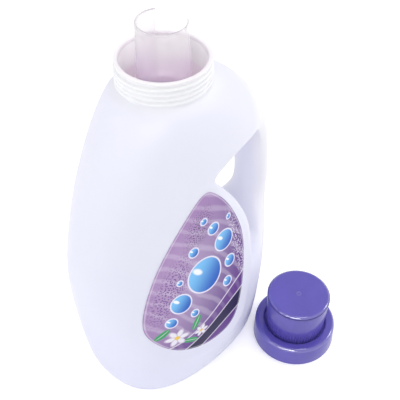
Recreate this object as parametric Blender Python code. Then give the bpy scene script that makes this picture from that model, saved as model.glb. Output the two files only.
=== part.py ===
"""Two-litre laundry detergent bottle with its dosing cap taken off.

The bottle is one blow-moulded shell: a lofted body, a hollow handle beside a
through gap, and a short threaded neck. A drain-back pouring spout is snapped
into the neck, a film label is wrapped on the front, and the liquid fills the
shell. The dosing cap stands mouth down on the table in front of the handle.

Axes while modelling: +Z up, the front face looks along -Y, the handle is at +X,
and the neck's axis is the line X = Y = 0. The whole part is centred at the end.
"""

import math

import bmesh
import bpy
from mathutils import Vector
from mathutils.bvhtree import BVHTree

MM = 0.001

# Body
BODY_HEIGHT = 233.0 * MM          # floor to the root of the neck
BODY_REACH_LEFT = 79.5 * MM       # neck axis to the widest point of the plain side
BODY_REACH_HANDLE = 94.0 * MM     # neck axis to the outer face of the handle
BODY_HALF_DEPTH = 59.0 * MM
WALL = 1.2 * MM
HEEL_ROUND = 5.2 * MM
FOOT_RING_WIDTH = 5.2 * MM
FOOT_PRESS = 0.8 * MM             # depth of the rounded foot that is flattened by the floor
PUSH_UP_DEPTH = 4.7 * MM
PUSH_UP_SLOPE = 4.0 * MM          # width of the slope from the foot ring to the push-up
PUSH_UP_MIDDLE = 0.35             # size of the push-up's middle face, as a share of the foot
FALL_START = 0.2                  # where the front starts to fall back towards the handle
FALL_RUN = 0.7                    # over this share of the half width

# Handle and the gap beside it
HANDLE_WIDTH = 19.9 * MM
HANDLE_HALF_DEPTH = 13.4 * MM
GAP_BOTTOM = 76.5 * MM
GAP_TO_NECK = 46.0 * MM           # top of the gap to the root of the neck
GAP_EDGE_ROUND = 7.4 * MM
GAP_WALL_DRAW = 1.5 * MM          # how far the gap's wall draws in behind its edge
GAP_ARCH = 3.2 * MM               # how far its two ends are bowed
GAP_TIP_LIFT = 11.6 * MM          # how far the gap's pointed corner is drawn up
GAP_EDGE_CREASE = 0.6
GAP_EDGE_DROP = 7.4 * MM          # how far the lower edge falls back from the front
GAP_EDGE_RISE = 0.45              # share of the drop that is gone at the gap's top
GAP_EDGE_BAND = 12.6 * MM         # width over which the front rolls over into the gap
GAP_TOP = BODY_HEIGHT - GAP_TO_NECK

# Neck finish
NECK_RADIUS = 27.6 * MM
NECK_HEIGHT = 15.6 * MM
NECK_ROOT_ROUND = 1.7 * MM
THREAD_DEPTH = 1.6 * MM
THREAD_PITCH = 3.2 * MM
THREAD_ROOT_WIDTH = 2.3 * MM
THREAD_CREST_WIDTH = 0.9 * MM
THREAD_START = 1.9 * MM           # neck's root to the middle of the thread's first end
THREAD_END = 3.5 * MM             # middle of the thread's last end to the lip

# Pouring spout
FIT_GAP = 0.3 * MM                # clearance between pieces that touch
SPOUT_WALL = 1.0 * MM
SPOUT_TAPER = 1.6 * MM            # loss of radius from the tray to the spout's end
SPOUT_RISE = 21.8 * MM            # above the flange
DRAIN_WIDTH = 8.7 * MM            # channel between the spout and the tray's wall
FLANGE_THICKNESS = 1.2 * MM
FLANGE_OVERHANG = 0.6 * MM        # beyond the neck's wall
FLANGE_CHAMFER = 1.0 * MM
TRAY_DEPTH = 24.2 * MM            # flange to the drain-back floor at its high side
TRAY_FALL = 3.2 * MM              # how much lower the floor lies at the slit
SLIT_ANGLE = math.radians(100)
SLIT_DIRECTION = math.radians(13)

# Dosing cap
CAP_DIRECTION = math.radians(-51.1)
CAP_STAND_OFF = 0.63 * MM         # free space left between the standing cap and the body
CAP_HEIGHT = 48.5 * MM
CAP_THREAD_GAP = 0.9 * MM         # between the skirt and the crest of the neck's thread
CAP_SKIRT_DRAFT = 0.7 * MM
CAP_SKIRT_HEIGHT = 17.2 * MM
CAP_CROWN_WIDTH = 7.3 * MM        # broad hollow crown between the skirt and the moat
CAP_CREST_ROUND = 1.1 * MM
CAP_MOAT_WIDTH = 1.2 * MM
CAP_MOAT_DEPTH = 3.2 * MM
CAP_CUP_FLARE = 1.3 * MM          # gain of radius from the moat to the cup's closed end
CAP_WALL = 1.4 * MM
CAP_EDGE_ROUND = 1.8 * MM
CAP_SEAL_RECESS = 0.5 * MM        # how far the seal ring ends above the skirt's rim

# Label and contents
LABEL_THICKNESS = 0.3 * MM
LABEL_CLEARANCE = 0.8 * MM
LABEL_GRID = 8.5 * MM             # spacing of the cuts that let the flat label bend
HEADSPACE = 5.2 * MM              # liquid's level to the lowest point of the spout's tray
LIQUID_CLEARANCE = 1.2 * MM

# Loft sections, each as (share of body height, share of the driving size)
REACH_LEFT = ((0, .90), (.12, .93), (.30, .98), (.50, 1.0), (.70, .87), (.85, .68), (.95, .51), (1, .42))
REACH_HANDLE = (
    (0, .79), (.12, .80), (.30, .915), (.45, .995), (.56, .98), (.70, .94), (.85, .75), (.95, .54), (1, .38),
)
HALF_DEPTH = ((0, .86), (.12, .96), (.30, 1.0), (.50, .84), (.70, .75), (.85, .72), (.95, .64), (1, .54))
SQUARENESS = ((0, 2.5), (.12, 2.6), (.50, 2.4), (.85, 2.2), (1, 2.0))
HANDLE_FALL = ((0, .12), (.12, .20), (.35, .36), (.60, .45), (.75, .42), (.90, .20), (1, 0))

# The gap's edge on the body, from its bottom to its top, as a share of the handle's reach
GAP_EDGE = ((0, .385), (.17, .40), (.33, .41), (.5, .345), (.67, .215), (.83, -.01), (1, .09))
# How the handle's bar swells towards its two ends, as (share of the gap's height, swell)
BAR_WIDTH = ((0, 1.2), (.17, 1.05), (.33, 1.05), (.5, 1.04), (.67, 1.02), (.83, 1.1), (1, 1.5))
BAR_DEPTH = ((0, 1.1), (.17, 1.0), (.33, 1.08), (.5, 1.04), (.67, .98), (.83, 1.0), (1, 1.3))

# Sections below and above the gap, each as (share of that stretch, pull to the gap's edges)
LOWER_SECTIONS = ((0.3, 0.15), (0.65, 0.55))
UPPER_SECTIONS = ((0.36, 0.5), (0.66, 0.15), (0.9, 0))
# How far the columns beside the gap's edge follow it
BAND_FOLLOW = (1.0, 0.5, 0.2)

# The label's outline, smooth through these points: share of the way from the plain side
# to the gap's edge, and share of the gap's height above the gap's bottom
LABEL_OUTLINE = (
    (.85, .90), (1.07, .82), (.925, .62), (.88, .36), (.82, .03), (.72, -.22), (.52, -.27), (.30, -.18),
    (.17, 0), (.18, .21), (.29, .51), (.58, .76),
)

COLUMNS = 10                      # columns of faces across the front, and as many behind
GAP_ROWS = 6                      # rows of faces that the gap takes out of the loft
EDGE_COLUMN = 5                   # column of vertices on the body's side of the gap
BAR_COLUMN = 7                    # column of vertices on the handle's side of the gap
BAR_SIDES = 10
ROUND_SIDES = 32                  # facets round the turned pieces
THREAD_SIDES = 16
LABEL_STEPS = 3                   # straight steps between two points of the label's outline
LIQUID_DETAIL = 0.28              # share of the smoothed surface's faces that the liquid keeps

PLUG_RADIUS = NECK_RADIUS - WALL - FIT_GAP
TRAY_RADIUS = PLUG_RADIUS - SPOUT_WALL
SPOUT_BASE_RADIUS = TRAY_RADIUS - DRAIN_WIDTH
SPOUT_TOP_RADIUS = SPOUT_BASE_RADIUS - SPOUT_TAPER
FLANGE_TOP = BODY_HEIGHT + NECK_HEIGHT + FIT_GAP + FLANGE_THICKNESS
TRAY_TOP = FLANGE_TOP - TRAY_DEPTH
CAP_SKIRT_RADIUS = NECK_RADIUS + THREAD_DEPTH + CAP_THREAD_GAP + CAP_WALL

# A smoothed ring lies inside its control ring: this puts it back at its true size
RING_GAIN = 3 / (2 + math.cos(math.pi / COLUMNS))
BAR_GAIN = 3 / (2 + math.cos(2 * math.pi / BAR_SIDES))
# How far the middle of a quarter round lies in from its corner
ROUND_SHARE = 1 - math.sqrt(0.5)


def material(name, colour, roughness, alpha=1.0):
    """A plain Principled material in the piece's own colour."""
    mat = bpy.data.materials.new(name)
    mat.use_nodes = True
    shader = mat.node_tree.nodes["Principled BSDF"]
    shader.inputs["Base Color"].default_value = (*colour, 1.0)
    shader.inputs["Roughness"].default_value = roughness
    shader.inputs["Alpha"].default_value = alpha
    return mat


def add_object(name, bm, mat):
    """Make a smooth-shaded object from a bmesh, and free the bmesh."""
    bmesh.ops.recalc_face_normals(bm, faces=bm.faces)
    mesh = bpy.data.meshes.new(name)
    bm.to_mesh(mesh)
    bm.free()
    mesh.materials.append(mat)
    obj = bpy.data.objects.new(name, mesh)
    bpy.context.scene.collection.objects.link(obj)
    shade(mesh)
    return obj


def shade(mesh):
    mesh.shade_smooth()
    mesh.set_sharp_from_angle(angle=math.radians(40))


def add_cutter(name, bm):
    """A guide solid for a Boolean, kept out of the finished part."""
    obj = add_object(name, bm, None)
    obj.hide_render = True
    obj.display_type = "WIRE"
    return obj


def boolean(obj, other, operation):
    modifier = obj.modifiers.new(other.name, "BOOLEAN")
    modifier.operation = operation
    modifier.solver = "EXACT"
    modifier.object = other


def apply_modifiers(obj):
    """Replace an object's mesh by its evaluated one."""
    bpy.context.view_layer.update()
    graph = bpy.context.evaluated_depsgraph_get()
    mesh = bpy.data.meshes.new_from_object(obj.evaluated_get(graph), depsgraph=graph)
    obj.modifiers.clear()
    obj.data = mesh
    shade(mesh)


def turned(profile, sides):
    """Spin a closed (radius, height) profile; points on the axis close it as fans."""
    bm = bmesh.new()
    rings = []
    for radius, height in profile:
        if radius == 0:
            rings.append([bm.verts.new((0, 0, height))] * sides)
            continue
        ring = []
        for side in range(sides):
            angle = math.tau * side / sides
            ring.append(bm.verts.new((radius * math.cos(angle), radius * math.sin(angle), height)))
        rings.append(ring)
    for ring, following in zip(rings, rings[1:] + rings[:1]):
        for side in range(sides):
            beside = (side + 1) % sides
            corners = (ring[side], ring[beside], following[beside], following[side])
            corners = tuple(dict.fromkeys(corners))
            if len(corners) > 2:
                bm.faces.new(corners)
    return bm


def smooth_step(value):
    value = min(max(value, 0.0), 1.0)
    return value * value * (3 - 2 * value)


def along(table, share):
    """Read the smooth curve through a table's (share, value) pairs."""
    share = min(max(share, table[0][0]), table[-1][0])
    index = max(i for i, (start, _) in enumerate(table[:-1]) if start <= share)
    slopes = []
    for i in (index, index + 1):
        before = table[max(i - 1, 0)]
        after = table[min(i + 1, len(table) - 1)]
        slopes.append((after[1] - before[1]) / (after[0] - before[0]))
    (low, start), (high, end) = table[index], table[index + 1]
    run = high - low
    t = (share - low) / run
    rise = start + (end - start) * (3 * t**2 - 2 * t**3)
    return rise + run * (t * (1 - t)**2 * slopes[0] - t**2 * (1 - t) * slopes[1])


def section_reach(height):
    """Where the section's plain side and handle side lie at a height."""
    share = height / BODY_HEIGHT
    return -BODY_REACH_LEFT * along(REACH_LEFT, share), BODY_REACH_HANDLE * along(REACH_HANDLE, share)


def half_depth(x, height):
    """Half depth of the body at a place across its front."""
    share = height / BODY_HEIGHT
    left, right = section_reach(height)
    power = along(SQUARENESS, share)
    across = (2 * x - left - right) / (right - left)
    across = min(max(across, -1.0), 1.0)
    fall = 1 - along(HANDLE_FALL, share) * smooth_step((across - FALL_START) / FALL_RUN)
    depth = BODY_HALF_DEPTH * along(HALF_DEPTH, share)
    return depth * (1 - abs(across)**power)**(1 / power) * fall


def gap_share(height):
    return (height - GAP_BOTTOM) / (GAP_TOP - GAP_BOTTOM)


def section(height, pull):
    """Front vertices of one section; pull draws the columns to the gap's edges."""
    left, right = section_reach(height)
    power = along(SQUARENESS, height / BODY_HEIGHT)
    across = []
    for column in range(COLUMNS + 1):
        turn = math.cos(math.pi * (1 - column / COLUMNS))
        share = math.copysign(abs(turn)**(2 / power), turn)
        across.append((left + right + (right - left) * share) / 2)
    edge = BODY_REACH_HANDLE * along(GAP_EDGE, gap_share(height))
    bar = right - HANDLE_WIDTH * along(BAR_WIDTH, gap_share(height))
    stretch = 1 + pull * ((edge - left) / (across[EDGE_COLUMN] - left) - 1)
    squeeze = 1 + pull * ((right - bar) / (right - across[BAR_COLUMN]) - 1)
    for column in range(EDGE_COLUMN + 1):
        across[column] = left + (across[column] - left) * stretch
    for column in range(BAR_COLUMN, COLUMNS + 1):
        across[column] = right - (right - across[column]) * squeeze
    shift = pull * (edge - GAP_EDGE_BAND - across[EDGE_COLUMN - 1])
    for step, share in enumerate(BAND_FOLLOW, 1):
        across[EDGE_COLUMN - step] += shift * share
    between = EDGE_COLUMN + 1
    middle = (across[EDGE_COLUMN] + across[BAR_COLUMN]) / 2
    across[between] += pull * (middle - across[between])
    points = [Vector((x, -half_depth(x, height), height)) for x in across]
    points[0].y = points[-1].y = 0
    return points


def bar_ring(height):
    """Half ring of the handle's bar, from its outer line round the front to its inner line."""
    right = section_reach(height)[1]
    half_width = HANDLE_WIDTH * along(BAR_WIDTH, gap_share(height)) / 2
    half_depth_here = HANDLE_HALF_DEPTH * along(BAR_DEPTH, gap_share(height))
    ring = []
    for side in range(BAR_SIDES // 2 + 1):
        angle = math.tau * side / BAR_SIDES
        x = right - half_width + half_width * BAR_GAIN * math.cos(angle)
        y = -half_depth_here * BAR_GAIN * math.sin(angle)
        ring.append(Vector((x, y if 0 < side < BAR_SIDES // 2 else 0, height)))
    return ring


def grown(points):
    """Grow a section about its middle, to make up for the smoothing."""
    return shrunk(points, RING_GAIN, points[0].z)


def shrunk(points, share, height):
    """The section drawn in to a share of its size, laid at a new height."""
    middle = (points[0].x + points[-1].x) / 2
    return [Vector((middle + (p.x - middle) * share, p.y * share, height)) for p in points]


def inset(points, distance, height):
    """The section drawn in towards its middle, laid at a new height."""
    middle = Vector(((points[0].x + points[-1].x) / 2, 0, 0))
    result = []
    for point in points:
        arm = Vector((point.x, point.y, 0)) - middle
        arm *= 1 - distance / arm.length
        result.append(middle + arm + Vector((0, 0, height)))
    return result


def neck_ring(radius, height):
    ring = []
    for column in range(COLUMNS + 1):
        angle = math.pi * (1 - column / COLUMNS)
        y = -radius * math.sin(angle) if 0 < column < COLUMNS else 0
        ring.append(Vector((radius * math.cos(angle), y, height)))
    return ring


def loft_rows():
    """Front halves of all rows, from the middle of the base to the lip, and the gap's first row."""
    foot = grown(section(HEEL_ROUND, 0))
    ring = HEEL_ROUND + FOOT_RING_WIDTH
    rows = [
        shrunk(foot, PUSH_UP_MIDDLE, PUSH_UP_DEPTH),
        inset(foot, ring + PUSH_UP_SLOPE, PUSH_UP_DEPTH),
        inset(foot, ring, -FOOT_PRESS / 2),
        inset(foot, HEEL_ROUND, -FOOT_PRESS),
        inset(foot, HEEL_ROUND / 2, -FOOT_PRESS / 2),
        foot,
    ]
    for share, pull in LOWER_SECTIONS:
        rows.append(grown(section(GAP_BOTTOM * share, pull)))
    first = len(rows)
    for row in range(GAP_ROWS + 1):
        height = GAP_BOTTOM + (GAP_TOP - GAP_BOTTOM) * row / GAP_ROWS
        points = grown(section(height, 1))
        if 0 < row < GAP_ROWS:
            points[BAR_COLUMN:] = reversed(bar_ring(height)[:COLUMNS + 1 - BAR_COLUMN])
        points[EDGE_COLUMN].y += GAP_EDGE_DROP * (1 - GAP_EDGE_RISE * row / GAP_ROWS)
        rows.append(points)
    for share, pull in UPPER_SECTIONS:
        rows.append(grown(section(GAP_TOP + GAP_TO_NECK * share, pull)))
    for radius, height in (
        (NECK_RADIUS + NECK_ROOT_ROUND, BODY_HEIGHT),
        (NECK_RADIUS, BODY_HEIGHT + NECK_ROOT_ROUND),
        (NECK_RADIUS, BODY_HEIGHT + NECK_HEIGHT),
    ):
        rows.append([Vector(p) for p in neck_ring(radius * RING_GAIN, height)])
    return rows, first


def tunnel_points(front, inward):
    """Three points through the gap's wall, from one face's edge to the other's."""
    near = Vector((front.x, front.y + GAP_EDGE_ROUND, front.z)) + inward
    middle = Vector((front.x, 0, front.z)) + inward
    far = Vector((near.x, -near.y, near.z))
    return near, middle, far


def body_cage():
    """Control cage of the shell's outer surface, with the gap bridged from face to face."""
    rows, first = loft_rows()
    last = first + GAP_ROWS
    for column, floor, roof in ((EDGE_COLUMN, 1, -1), (EDGE_COLUMN + 1, -1, 1), (BAR_COLUMN, -1, -1)):
        rows[first][column].z += GAP_ARCH * floor
        rows[last][column].z += GAP_ARCH * roof
    rows[last][EDGE_COLUMN + 1].y += GAP_EDGE_DROP * (1 - GAP_EDGE_RISE)
    rows[last - 1][EDGE_COLUMN].z += GAP_TIP_LIFT
    rows[last - 2][EDGE_COLUMN].z += GAP_TIP_LIFT / 2
    bm = bmesh.new()
    grid = []
    for points in rows:
        front = [bm.verts.new(p) for p in points]
        back = [front[0]]
        back += [bm.verts.new((p.x, -p.y, p.z)) for p in points[1:-1]]
        back.append(front[-1])
        grid.append((front, back))
    for row, ((front, back), (front_above, back_above)) in enumerate(zip(grid, grid[1:])):
        for column in range(COLUMNS):
            if first <= row < last and EDGE_COLUMN <= column < BAR_COLUMN:
                continue
            for low, high in ((front, front_above), (back, back_above)):
                bm.faces.new((low[column], low[column + 1], high[column + 1], high[column]))
    front, back = grid[0]
    bm.faces.new(front + back[-2:0:-1])
    bridge_gap(bm, grid, rows, first, last)
    unused = [vertex for vertex in bm.verts if not vertex.link_faces]
    bmesh.ops.delete(bm, geom=unused, context="VERTS")
    return bm


def bridge_gap(bm, grid, rows, first, last):
    """Walls of the through gap: the body's side, the two ends and the bar's inner side."""
    loop = [(row, EDGE_COLUMN) for row in range(first, last + 1)]
    loop.append((last, EDGE_COLUMN + 1))
    loop += [(row, BAR_COLUMN) for row in range(last, first - 1, -1)]
    loop.append((first, EDGE_COLUMN + 1))
    middle = Vector((sum(rows[r][c].x for r, c in loop), 0, sum(rows[r][c].z for r, c in loop))) / len(loop)
    lines = []
    for row, column in loop:
        point = rows[row][column]
        if column == BAR_COLUMN and first < row < last:
            near, inner = bar_ring(point.z)[-2:]
            through = (near, inner, Vector((near.x, -near.y, near.z)))
        else:
            inward = Vector((middle.x - point.x, 0, middle.z - point.z)).normalized() * GAP_WALL_DRAW
            through = tunnel_points(point, inward)
        front, back = grid[row]
        lines.append([front[column], *(bm.verts.new(p) for p in through), back[column]])
    for line, following in zip(lines, lines[1:] + lines[:1]):
        for step in range(len(line) - 1):
            bm.faces.new((line[step], line[step + 1], following[step + 1], following[step]))
    crease = bm.edges.layers.float.new("crease_edge")
    upper = [line for line, (row, _) in zip(lines, loop) if row > first + GAP_ROWS / 2]
    for line, following in zip(upper, upper[1:]):
        for side in (0, -1):
            bm.edges.get((line[side], following[side]))[crease] = GAP_EDGE_CREASE


def body_surface(name):
    """The smoothed outer surface of the bottle, open at the lip and flat on its foot ring."""
    obj = add_object(name, body_cage(), None)
    smoothing = obj.modifiers.new("smoothing", "SUBSURF")
    smoothing.levels = smoothing.render_levels = 1
    apply_modifiers(obj)
    for vertex in obj.data.vertices:
        vertex.co.z = max(vertex.co.z, 0)
    return obj


def add_thread(plain):
    """Coarse single-start thread, rooted in the neck's wall and run out at both ends."""
    bm = bmesh.new()
    steps = round((NECK_HEIGHT - THREAD_START - THREAD_END) / THREAD_PITCH * THREAD_SIDES)
    root = NECK_RADIUS - WALL / 3
    previous = None
    for step in range(steps + 1):
        angle = math.tau * step / THREAD_SIDES
        height = BODY_HEIGHT + THREAD_START + THREAD_PITCH * step / THREAD_SIDES
        run_out = smooth_step(min(step, steps - step) / (THREAD_SIDES / 6))
        crest = root + WALL / 6 + (THREAD_DEPTH + WALL / 6) * run_out
        ring = []
        for radius, width in (
            (root, -THREAD_ROOT_WIDTH), (crest, -THREAD_CREST_WIDTH),
            (crest, THREAD_CREST_WIDTH), (root, THREAD_ROOT_WIDTH),
        ):
            place = (radius * math.cos(angle), radius * math.sin(angle), height + width / 2)
            ring.append(bm.verts.new(place))
        if previous is None:
            bm.faces.new(ring)
        else:
            for side in range(4):
                beside = (side + 1) % 4
                bm.faces.new((previous[side], previous[beside], ring[beside], ring[side]))
        previous = ring
    bm.faces.new(reversed(previous))
    thread = add_cutter("thread_ridge", bm)
    thread.data.materials.append(plain)
    return thread


def make_bottle(plastic):
    bottle = body_surface("bottle")
    bottle.data.materials.clear()
    bottle.data.materials.append(plastic)
    shell = bottle.modifiers.new("wall", "SOLIDIFY")
    shell.thickness = WALL
    shell.offset = -1
    shell.use_even_offset = True
    shell.use_rim = True
    boolean(bottle, add_thread(plastic), "UNION")
    return bottle


def make_detergent(liquid):
    """The liquid, level below the spout's tray and clear of the shell's inner surface."""
    level = TRAY_TOP - TRAY_FALL - SPOUT_WALL - HEADSPACE
    surface = body_surface("detergent")
    bm = bmesh.new()
    bm.from_mesh(surface.data)
    bpy.data.objects.remove(surface)
    lip = [edge for edge in bm.edges if edge.is_boundary]
    bmesh.ops.holes_fill(bm, edges=lip)
    bm.normal_update()
    for vertex in bm.verts:
        vertex.co -= vertex.normal * (WALL + LIQUID_CLEARANCE) * vertex.calc_shell_factor()
    above = bmesh.ops.bisect_plane(
        bm, geom=bm.verts[:] + bm.edges[:] + bm.faces[:],
        plane_co=(0, 0, level), plane_no=(0, 0, 1), clear_outer=True,
    )
    rim = [item for item in above["geom_cut"] if isinstance(item, bmesh.types.BMEdge)]
    bmesh.ops.contextual_create(bm, geom=rim)
    detergent = add_object("detergent", bm, liquid)
    thinning = detergent.modifiers.new("thinning", "DECIMATE")
    thinning.ratio = LIQUID_DETAIL
    return detergent


def make_pour_spout(natural):
    """Snap-in fitment: flange on the lip, sealing wall, sloped tray and slit spout."""
    flange_radius = NECK_RADIUS + FLANGE_OVERHANG
    flange_foot = FLANGE_TOP - FLANGE_THICKNESS
    top = FLANGE_TOP + SPOUT_RISE
    bm = bmesh.new()
    rings = (
        (flange_radius, FLANGE_TOP, 0),
        (flange_radius, flange_foot, 0),
        (PLUG_RADIUS, flange_foot, 0),
        (PLUG_RADIUS, TRAY_TOP - SPOUT_WALL, 1),
        (SPOUT_BASE_RADIUS - SPOUT_WALL, TRAY_TOP - SPOUT_WALL, 1),
        (SPOUT_TOP_RADIUS - SPOUT_WALL, top, 0),
        (SPOUT_TOP_RADIUS, top, 0),
        (SPOUT_BASE_RADIUS, TRAY_TOP, 1),
        (TRAY_RADIUS, TRAY_TOP, 1),
        (TRAY_RADIUS, FLANGE_TOP - FLANGE_CHAMFER, 0),
        (TRAY_RADIUS + FLANGE_CHAMFER, FLANGE_TOP, 0),
    )
    loops = []
    for radius, height, sloped in rings:
        loop = []
        for side in range(ROUND_SIDES):
            angle = math.tau * side / ROUND_SIDES
            fall = sloped * TRAY_FALL * (1 + math.cos(angle - SLIT_DIRECTION)) / 2
            loop.append(bm.verts.new((radius * math.cos(angle), radius * math.sin(angle), height - fall)))
        loops.append(loop)
    for loop, following in zip(loops, loops[1:] + loops[:1]):
        for side in range(ROUND_SIDES):
            beside = (side + 1) % ROUND_SIDES
            bm.faces.new((loop[side], loop[beside], following[beside], following[side]))
    spout = add_object("pour_spout", bm, natural)
    boolean(spout, add_slit(TRAY_TOP, top + SPOUT_RISE), "DIFFERENCE")
    return spout


def add_slit(bottom, top):
    """Wedge that opens one side of the spout's tube."""
    bm = bmesh.new()
    reach = (SPOUT_BASE_RADIUS + TRAY_RADIUS) / 2 / math.cos(SLIT_ANGLE / 8)
    outline = [(0, 0)]
    for share in (-0.5, -0.25, 0, 0.25, 0.5):
        angle = SLIT_DIRECTION + SLIT_ANGLE * share
        outline.append((reach * math.cos(angle), reach * math.sin(angle)))
    base = bm.faces.new([bm.verts.new((x, y, bottom)) for x, y in outline])
    extruded = bmesh.ops.extrude_face_region(bm, geom=[base])
    raised = [item for item in extruded["geom"] if isinstance(item, bmesh.types.BMVert)]
    bmesh.ops.translate(bm, verts=raised, vec=(0, 0, top - bottom))
    return add_cutter("spout_slit", bm)


def rounded(before, corner, after, size):
    """Three points that round off one corner of a profile."""
    before, corner, after = Vector(before), Vector(corner), Vector(after)
    back = (before - corner).normalized() * size
    on = (after - corner).normalized() * size
    return [tuple(corner + arm) for arm in (back, (back + on) * ROUND_SHARE, on)]


def cap_place():
    """Where the cap stands: as near the body as its stand-off lets it come, on its direction."""
    away = Vector((math.cos(CAP_DIRECTION), math.sin(CAP_DIRECTION), 0))
    keep = CAP_SKIRT_RADIUS + CAP_STAND_OFF
    distance = 0
    for share in (0, 0.25, 0.5, 0.75, 1):
        height = CAP_HEIGHT * share
        left, right = section_reach(height)
        for step in range(ROUND_SIDES + 1):
            x = left + (right - left) * step / ROUND_SIDES
            point = Vector((x, -half_depth(x, height), 0))
            along_way = point.dot(away)
            beside = (point - away * along_way).length
            if beside < keep:
                distance = max(distance, along_way + math.sqrt(keep**2 - beside**2))
    return away * distance


def make_dosing_cap(coloured):
    """Dosing cup with its threaded skirt, one moulding, standing mouth down."""
    skirt_top = CAP_SKIRT_RADIUS - CAP_SKIRT_DRAFT
    crown = skirt_top - CAP_CROWN_WIDTH
    cup_base = crown - CAP_MOAT_WIDTH
    cup_top = cup_base + CAP_CUP_FLARE
    moat = CAP_SKIRT_HEIGHT - CAP_MOAT_DEPTH
    web = moat - CAP_WALL
    ceiling = CAP_HEIGHT - CAP_WALL
    crown_ceiling = CAP_SKIRT_HEIGHT - CAP_WALL
    seal = TRAY_RADIUS - FIT_GAP
    shoulder = (skirt_top, CAP_SKIRT_HEIGHT)
    crest = (crown, CAP_SKIRT_HEIGHT)
    edge = (cup_top, CAP_HEIGHT)
    inner_edge = (cup_base - CAP_WALL, ceiling)
    inner_foot = (cup_base - CAP_WALL, web)
    profile = (
        (CAP_SKIRT_RADIUS, 0),
        *rounded((CAP_SKIRT_RADIUS, 0), shoulder, crest, CAP_EDGE_ROUND),
        *rounded(shoulder, crest, (crown, moat), CAP_CREST_ROUND),
        (crown, moat),
        (cup_base, moat),
        *rounded((cup_base, moat), edge, (0, CAP_HEIGHT), CAP_EDGE_ROUND),
        (0, CAP_HEIGHT),
        (0, ceiling),
        *rounded((0, ceiling), inner_edge, inner_foot, CAP_EDGE_ROUND / 2),
        inner_foot,
        (seal - CAP_WALL, web),
        (seal - CAP_WALL, CAP_SEAL_RECESS),
        (seal, CAP_SEAL_RECESS),
        (seal, crown_ceiling),
        (skirt_top - CAP_WALL, crown_ceiling),
        (CAP_SKIRT_RADIUS - CAP_WALL, 0),
    )
    cap = add_object("dosing_cap", turned(profile, ROUND_SIDES), coloured)
    cap.location = cap_place()
    return cap


def closed_curve(points, steps):
    """Points along a smooth closed curve through the given ones."""
    count = len(points)
    curve = []
    for index in range(count):
        a, b, c, d = (points[(index + k) % count] for k in (-1, 0, 1, 2))
        for step in range(steps):
            t = step / steps
            curve.append(b + 0.5 * t * (c - a + t * (2 * a - 5 * b + 4 * c - d + t * (3 * (b - c) + d - a))))
    return curve


def label_point(across, up):
    """A place of the label's outline on the front, between the plain side and the gap's edge."""
    height = GAP_BOTTOM + (GAP_TOP - GAP_BOTTOM) * up
    left = section_reach(height)[0]
    edge = BODY_REACH_HANDLE * along(GAP_EDGE, up)
    return Vector((left + (edge - left) * across, 0, height))


def make_front_label(bottle, film):
    """Film label: cut flat, then laid on the bottle's front."""
    bm = bmesh.new()
    corners = [label_point(across, up) for across, up in LABEL_OUTLINE]
    outline = [bm.verts.new(point) for point in closed_curve(corners, LABEL_STEPS)]
    bm.faces.new(outline)
    for axis in (Vector((1, 0, 0)), Vector((0, 0, 1))):
        places = [vertex.co.dot(axis) / LABEL_GRID for vertex in outline]
        for step in range(math.ceil(min(places)), math.floor(max(places)) + 1):
            everything = bm.verts[:] + bm.edges[:] + bm.faces[:]
            cut = axis * step * LABEL_GRID
            bmesh.ops.bisect_plane(bm, geom=everything, plane_co=cut, plane_no=axis)
    bpy.context.view_layer.update()
    graph = bpy.context.evaluated_depsgraph_get()
    front = BVHTree.FromObject(bottle, graph)
    towards_back = Vector((0, 1, 0))
    for vertex in bm.verts:
        hit, normal, _, _ = front.ray_cast(vertex.co - towards_back, towards_back)
        vertex.co = hit + normal * LABEL_CLEARANCE
    for face in bm.faces:
        if face.normal.y > 0:
            face.normal_flip()
    bm.normal_update()
    extruded = bmesh.ops.extrude_face_region(bm, geom=bm.faces[:])
    bm.normal_update()
    for item in extruded["geom"]:
        if isinstance(item, bmesh.types.BMVert):
            item.co.y -= LABEL_THICKNESS
    return add_object("front_label", bm, film)


def centre_part(pieces):
    """Stand the part on the middle of its own outline, under one empty."""
    holder = bpy.data.objects.new("part_centre", None)
    bpy.context.scene.collection.objects.link(holder)
    bpy.context.view_layer.update()
    graph = bpy.context.evaluated_depsgraph_get()
    corners = []
    for piece in pieces:
        shape = piece.evaluated_get(graph)
        corners += [piece.matrix_world @ Vector(corner) for corner in shape.bound_box]
    low = Vector([min(corner[axis] for corner in corners) for axis in range(3)])
    high = Vector([max(corner[axis] for corner in corners) for axis in range(3)])
    holder.location = (-(low.x + high.x) / 2, -(low.y + high.y) / 2, -low.z)
    for obj in bpy.context.scene.objects:
        if obj is not holder:
            obj.parent = holder


def main():
    for obj in list(bpy.data.objects):
        bpy.data.objects.remove(obj)
    bottle = make_bottle(material("pearl_plastic", (0.80, 0.80, 0.92), 0.42))
    pieces = [
        bottle,
        make_detergent(material("violet_liquid", (0.35, 0.12, 0.42), 0.08)),
        make_pour_spout(material("natural_plastic", (0.75, 0.68, 0.74), 0.35, 0.7)),
        make_dosing_cap(material("violet_plastic", (0.16, 0.13, 0.47), 0.36)),
        make_front_label(bottle, material("printed_film", (0.42, 0.30, 0.55), 0.3)),
    ]
    centre_part(pieces)


if __name__ == "__main__":
    main()
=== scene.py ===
"""Looks of a two-litre laundry detergent bottle with its dosing cap taken off.

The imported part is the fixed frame. Finer pieces stand on it: the blow-moulded shell with
its screw thread and label panel, the pouring spout, the dosing cap with its grip ribs, and
the printed label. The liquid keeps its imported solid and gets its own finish.
"""

import math

import bmesh
import bpy
from bpy.props import FloatProperty, FloatVectorProperty, IntProperty, PointerProperty
from bpy.types import Operator, Panel, PropertyGroup
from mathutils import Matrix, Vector
from mathutils.bvhtree import BVHTree


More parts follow.
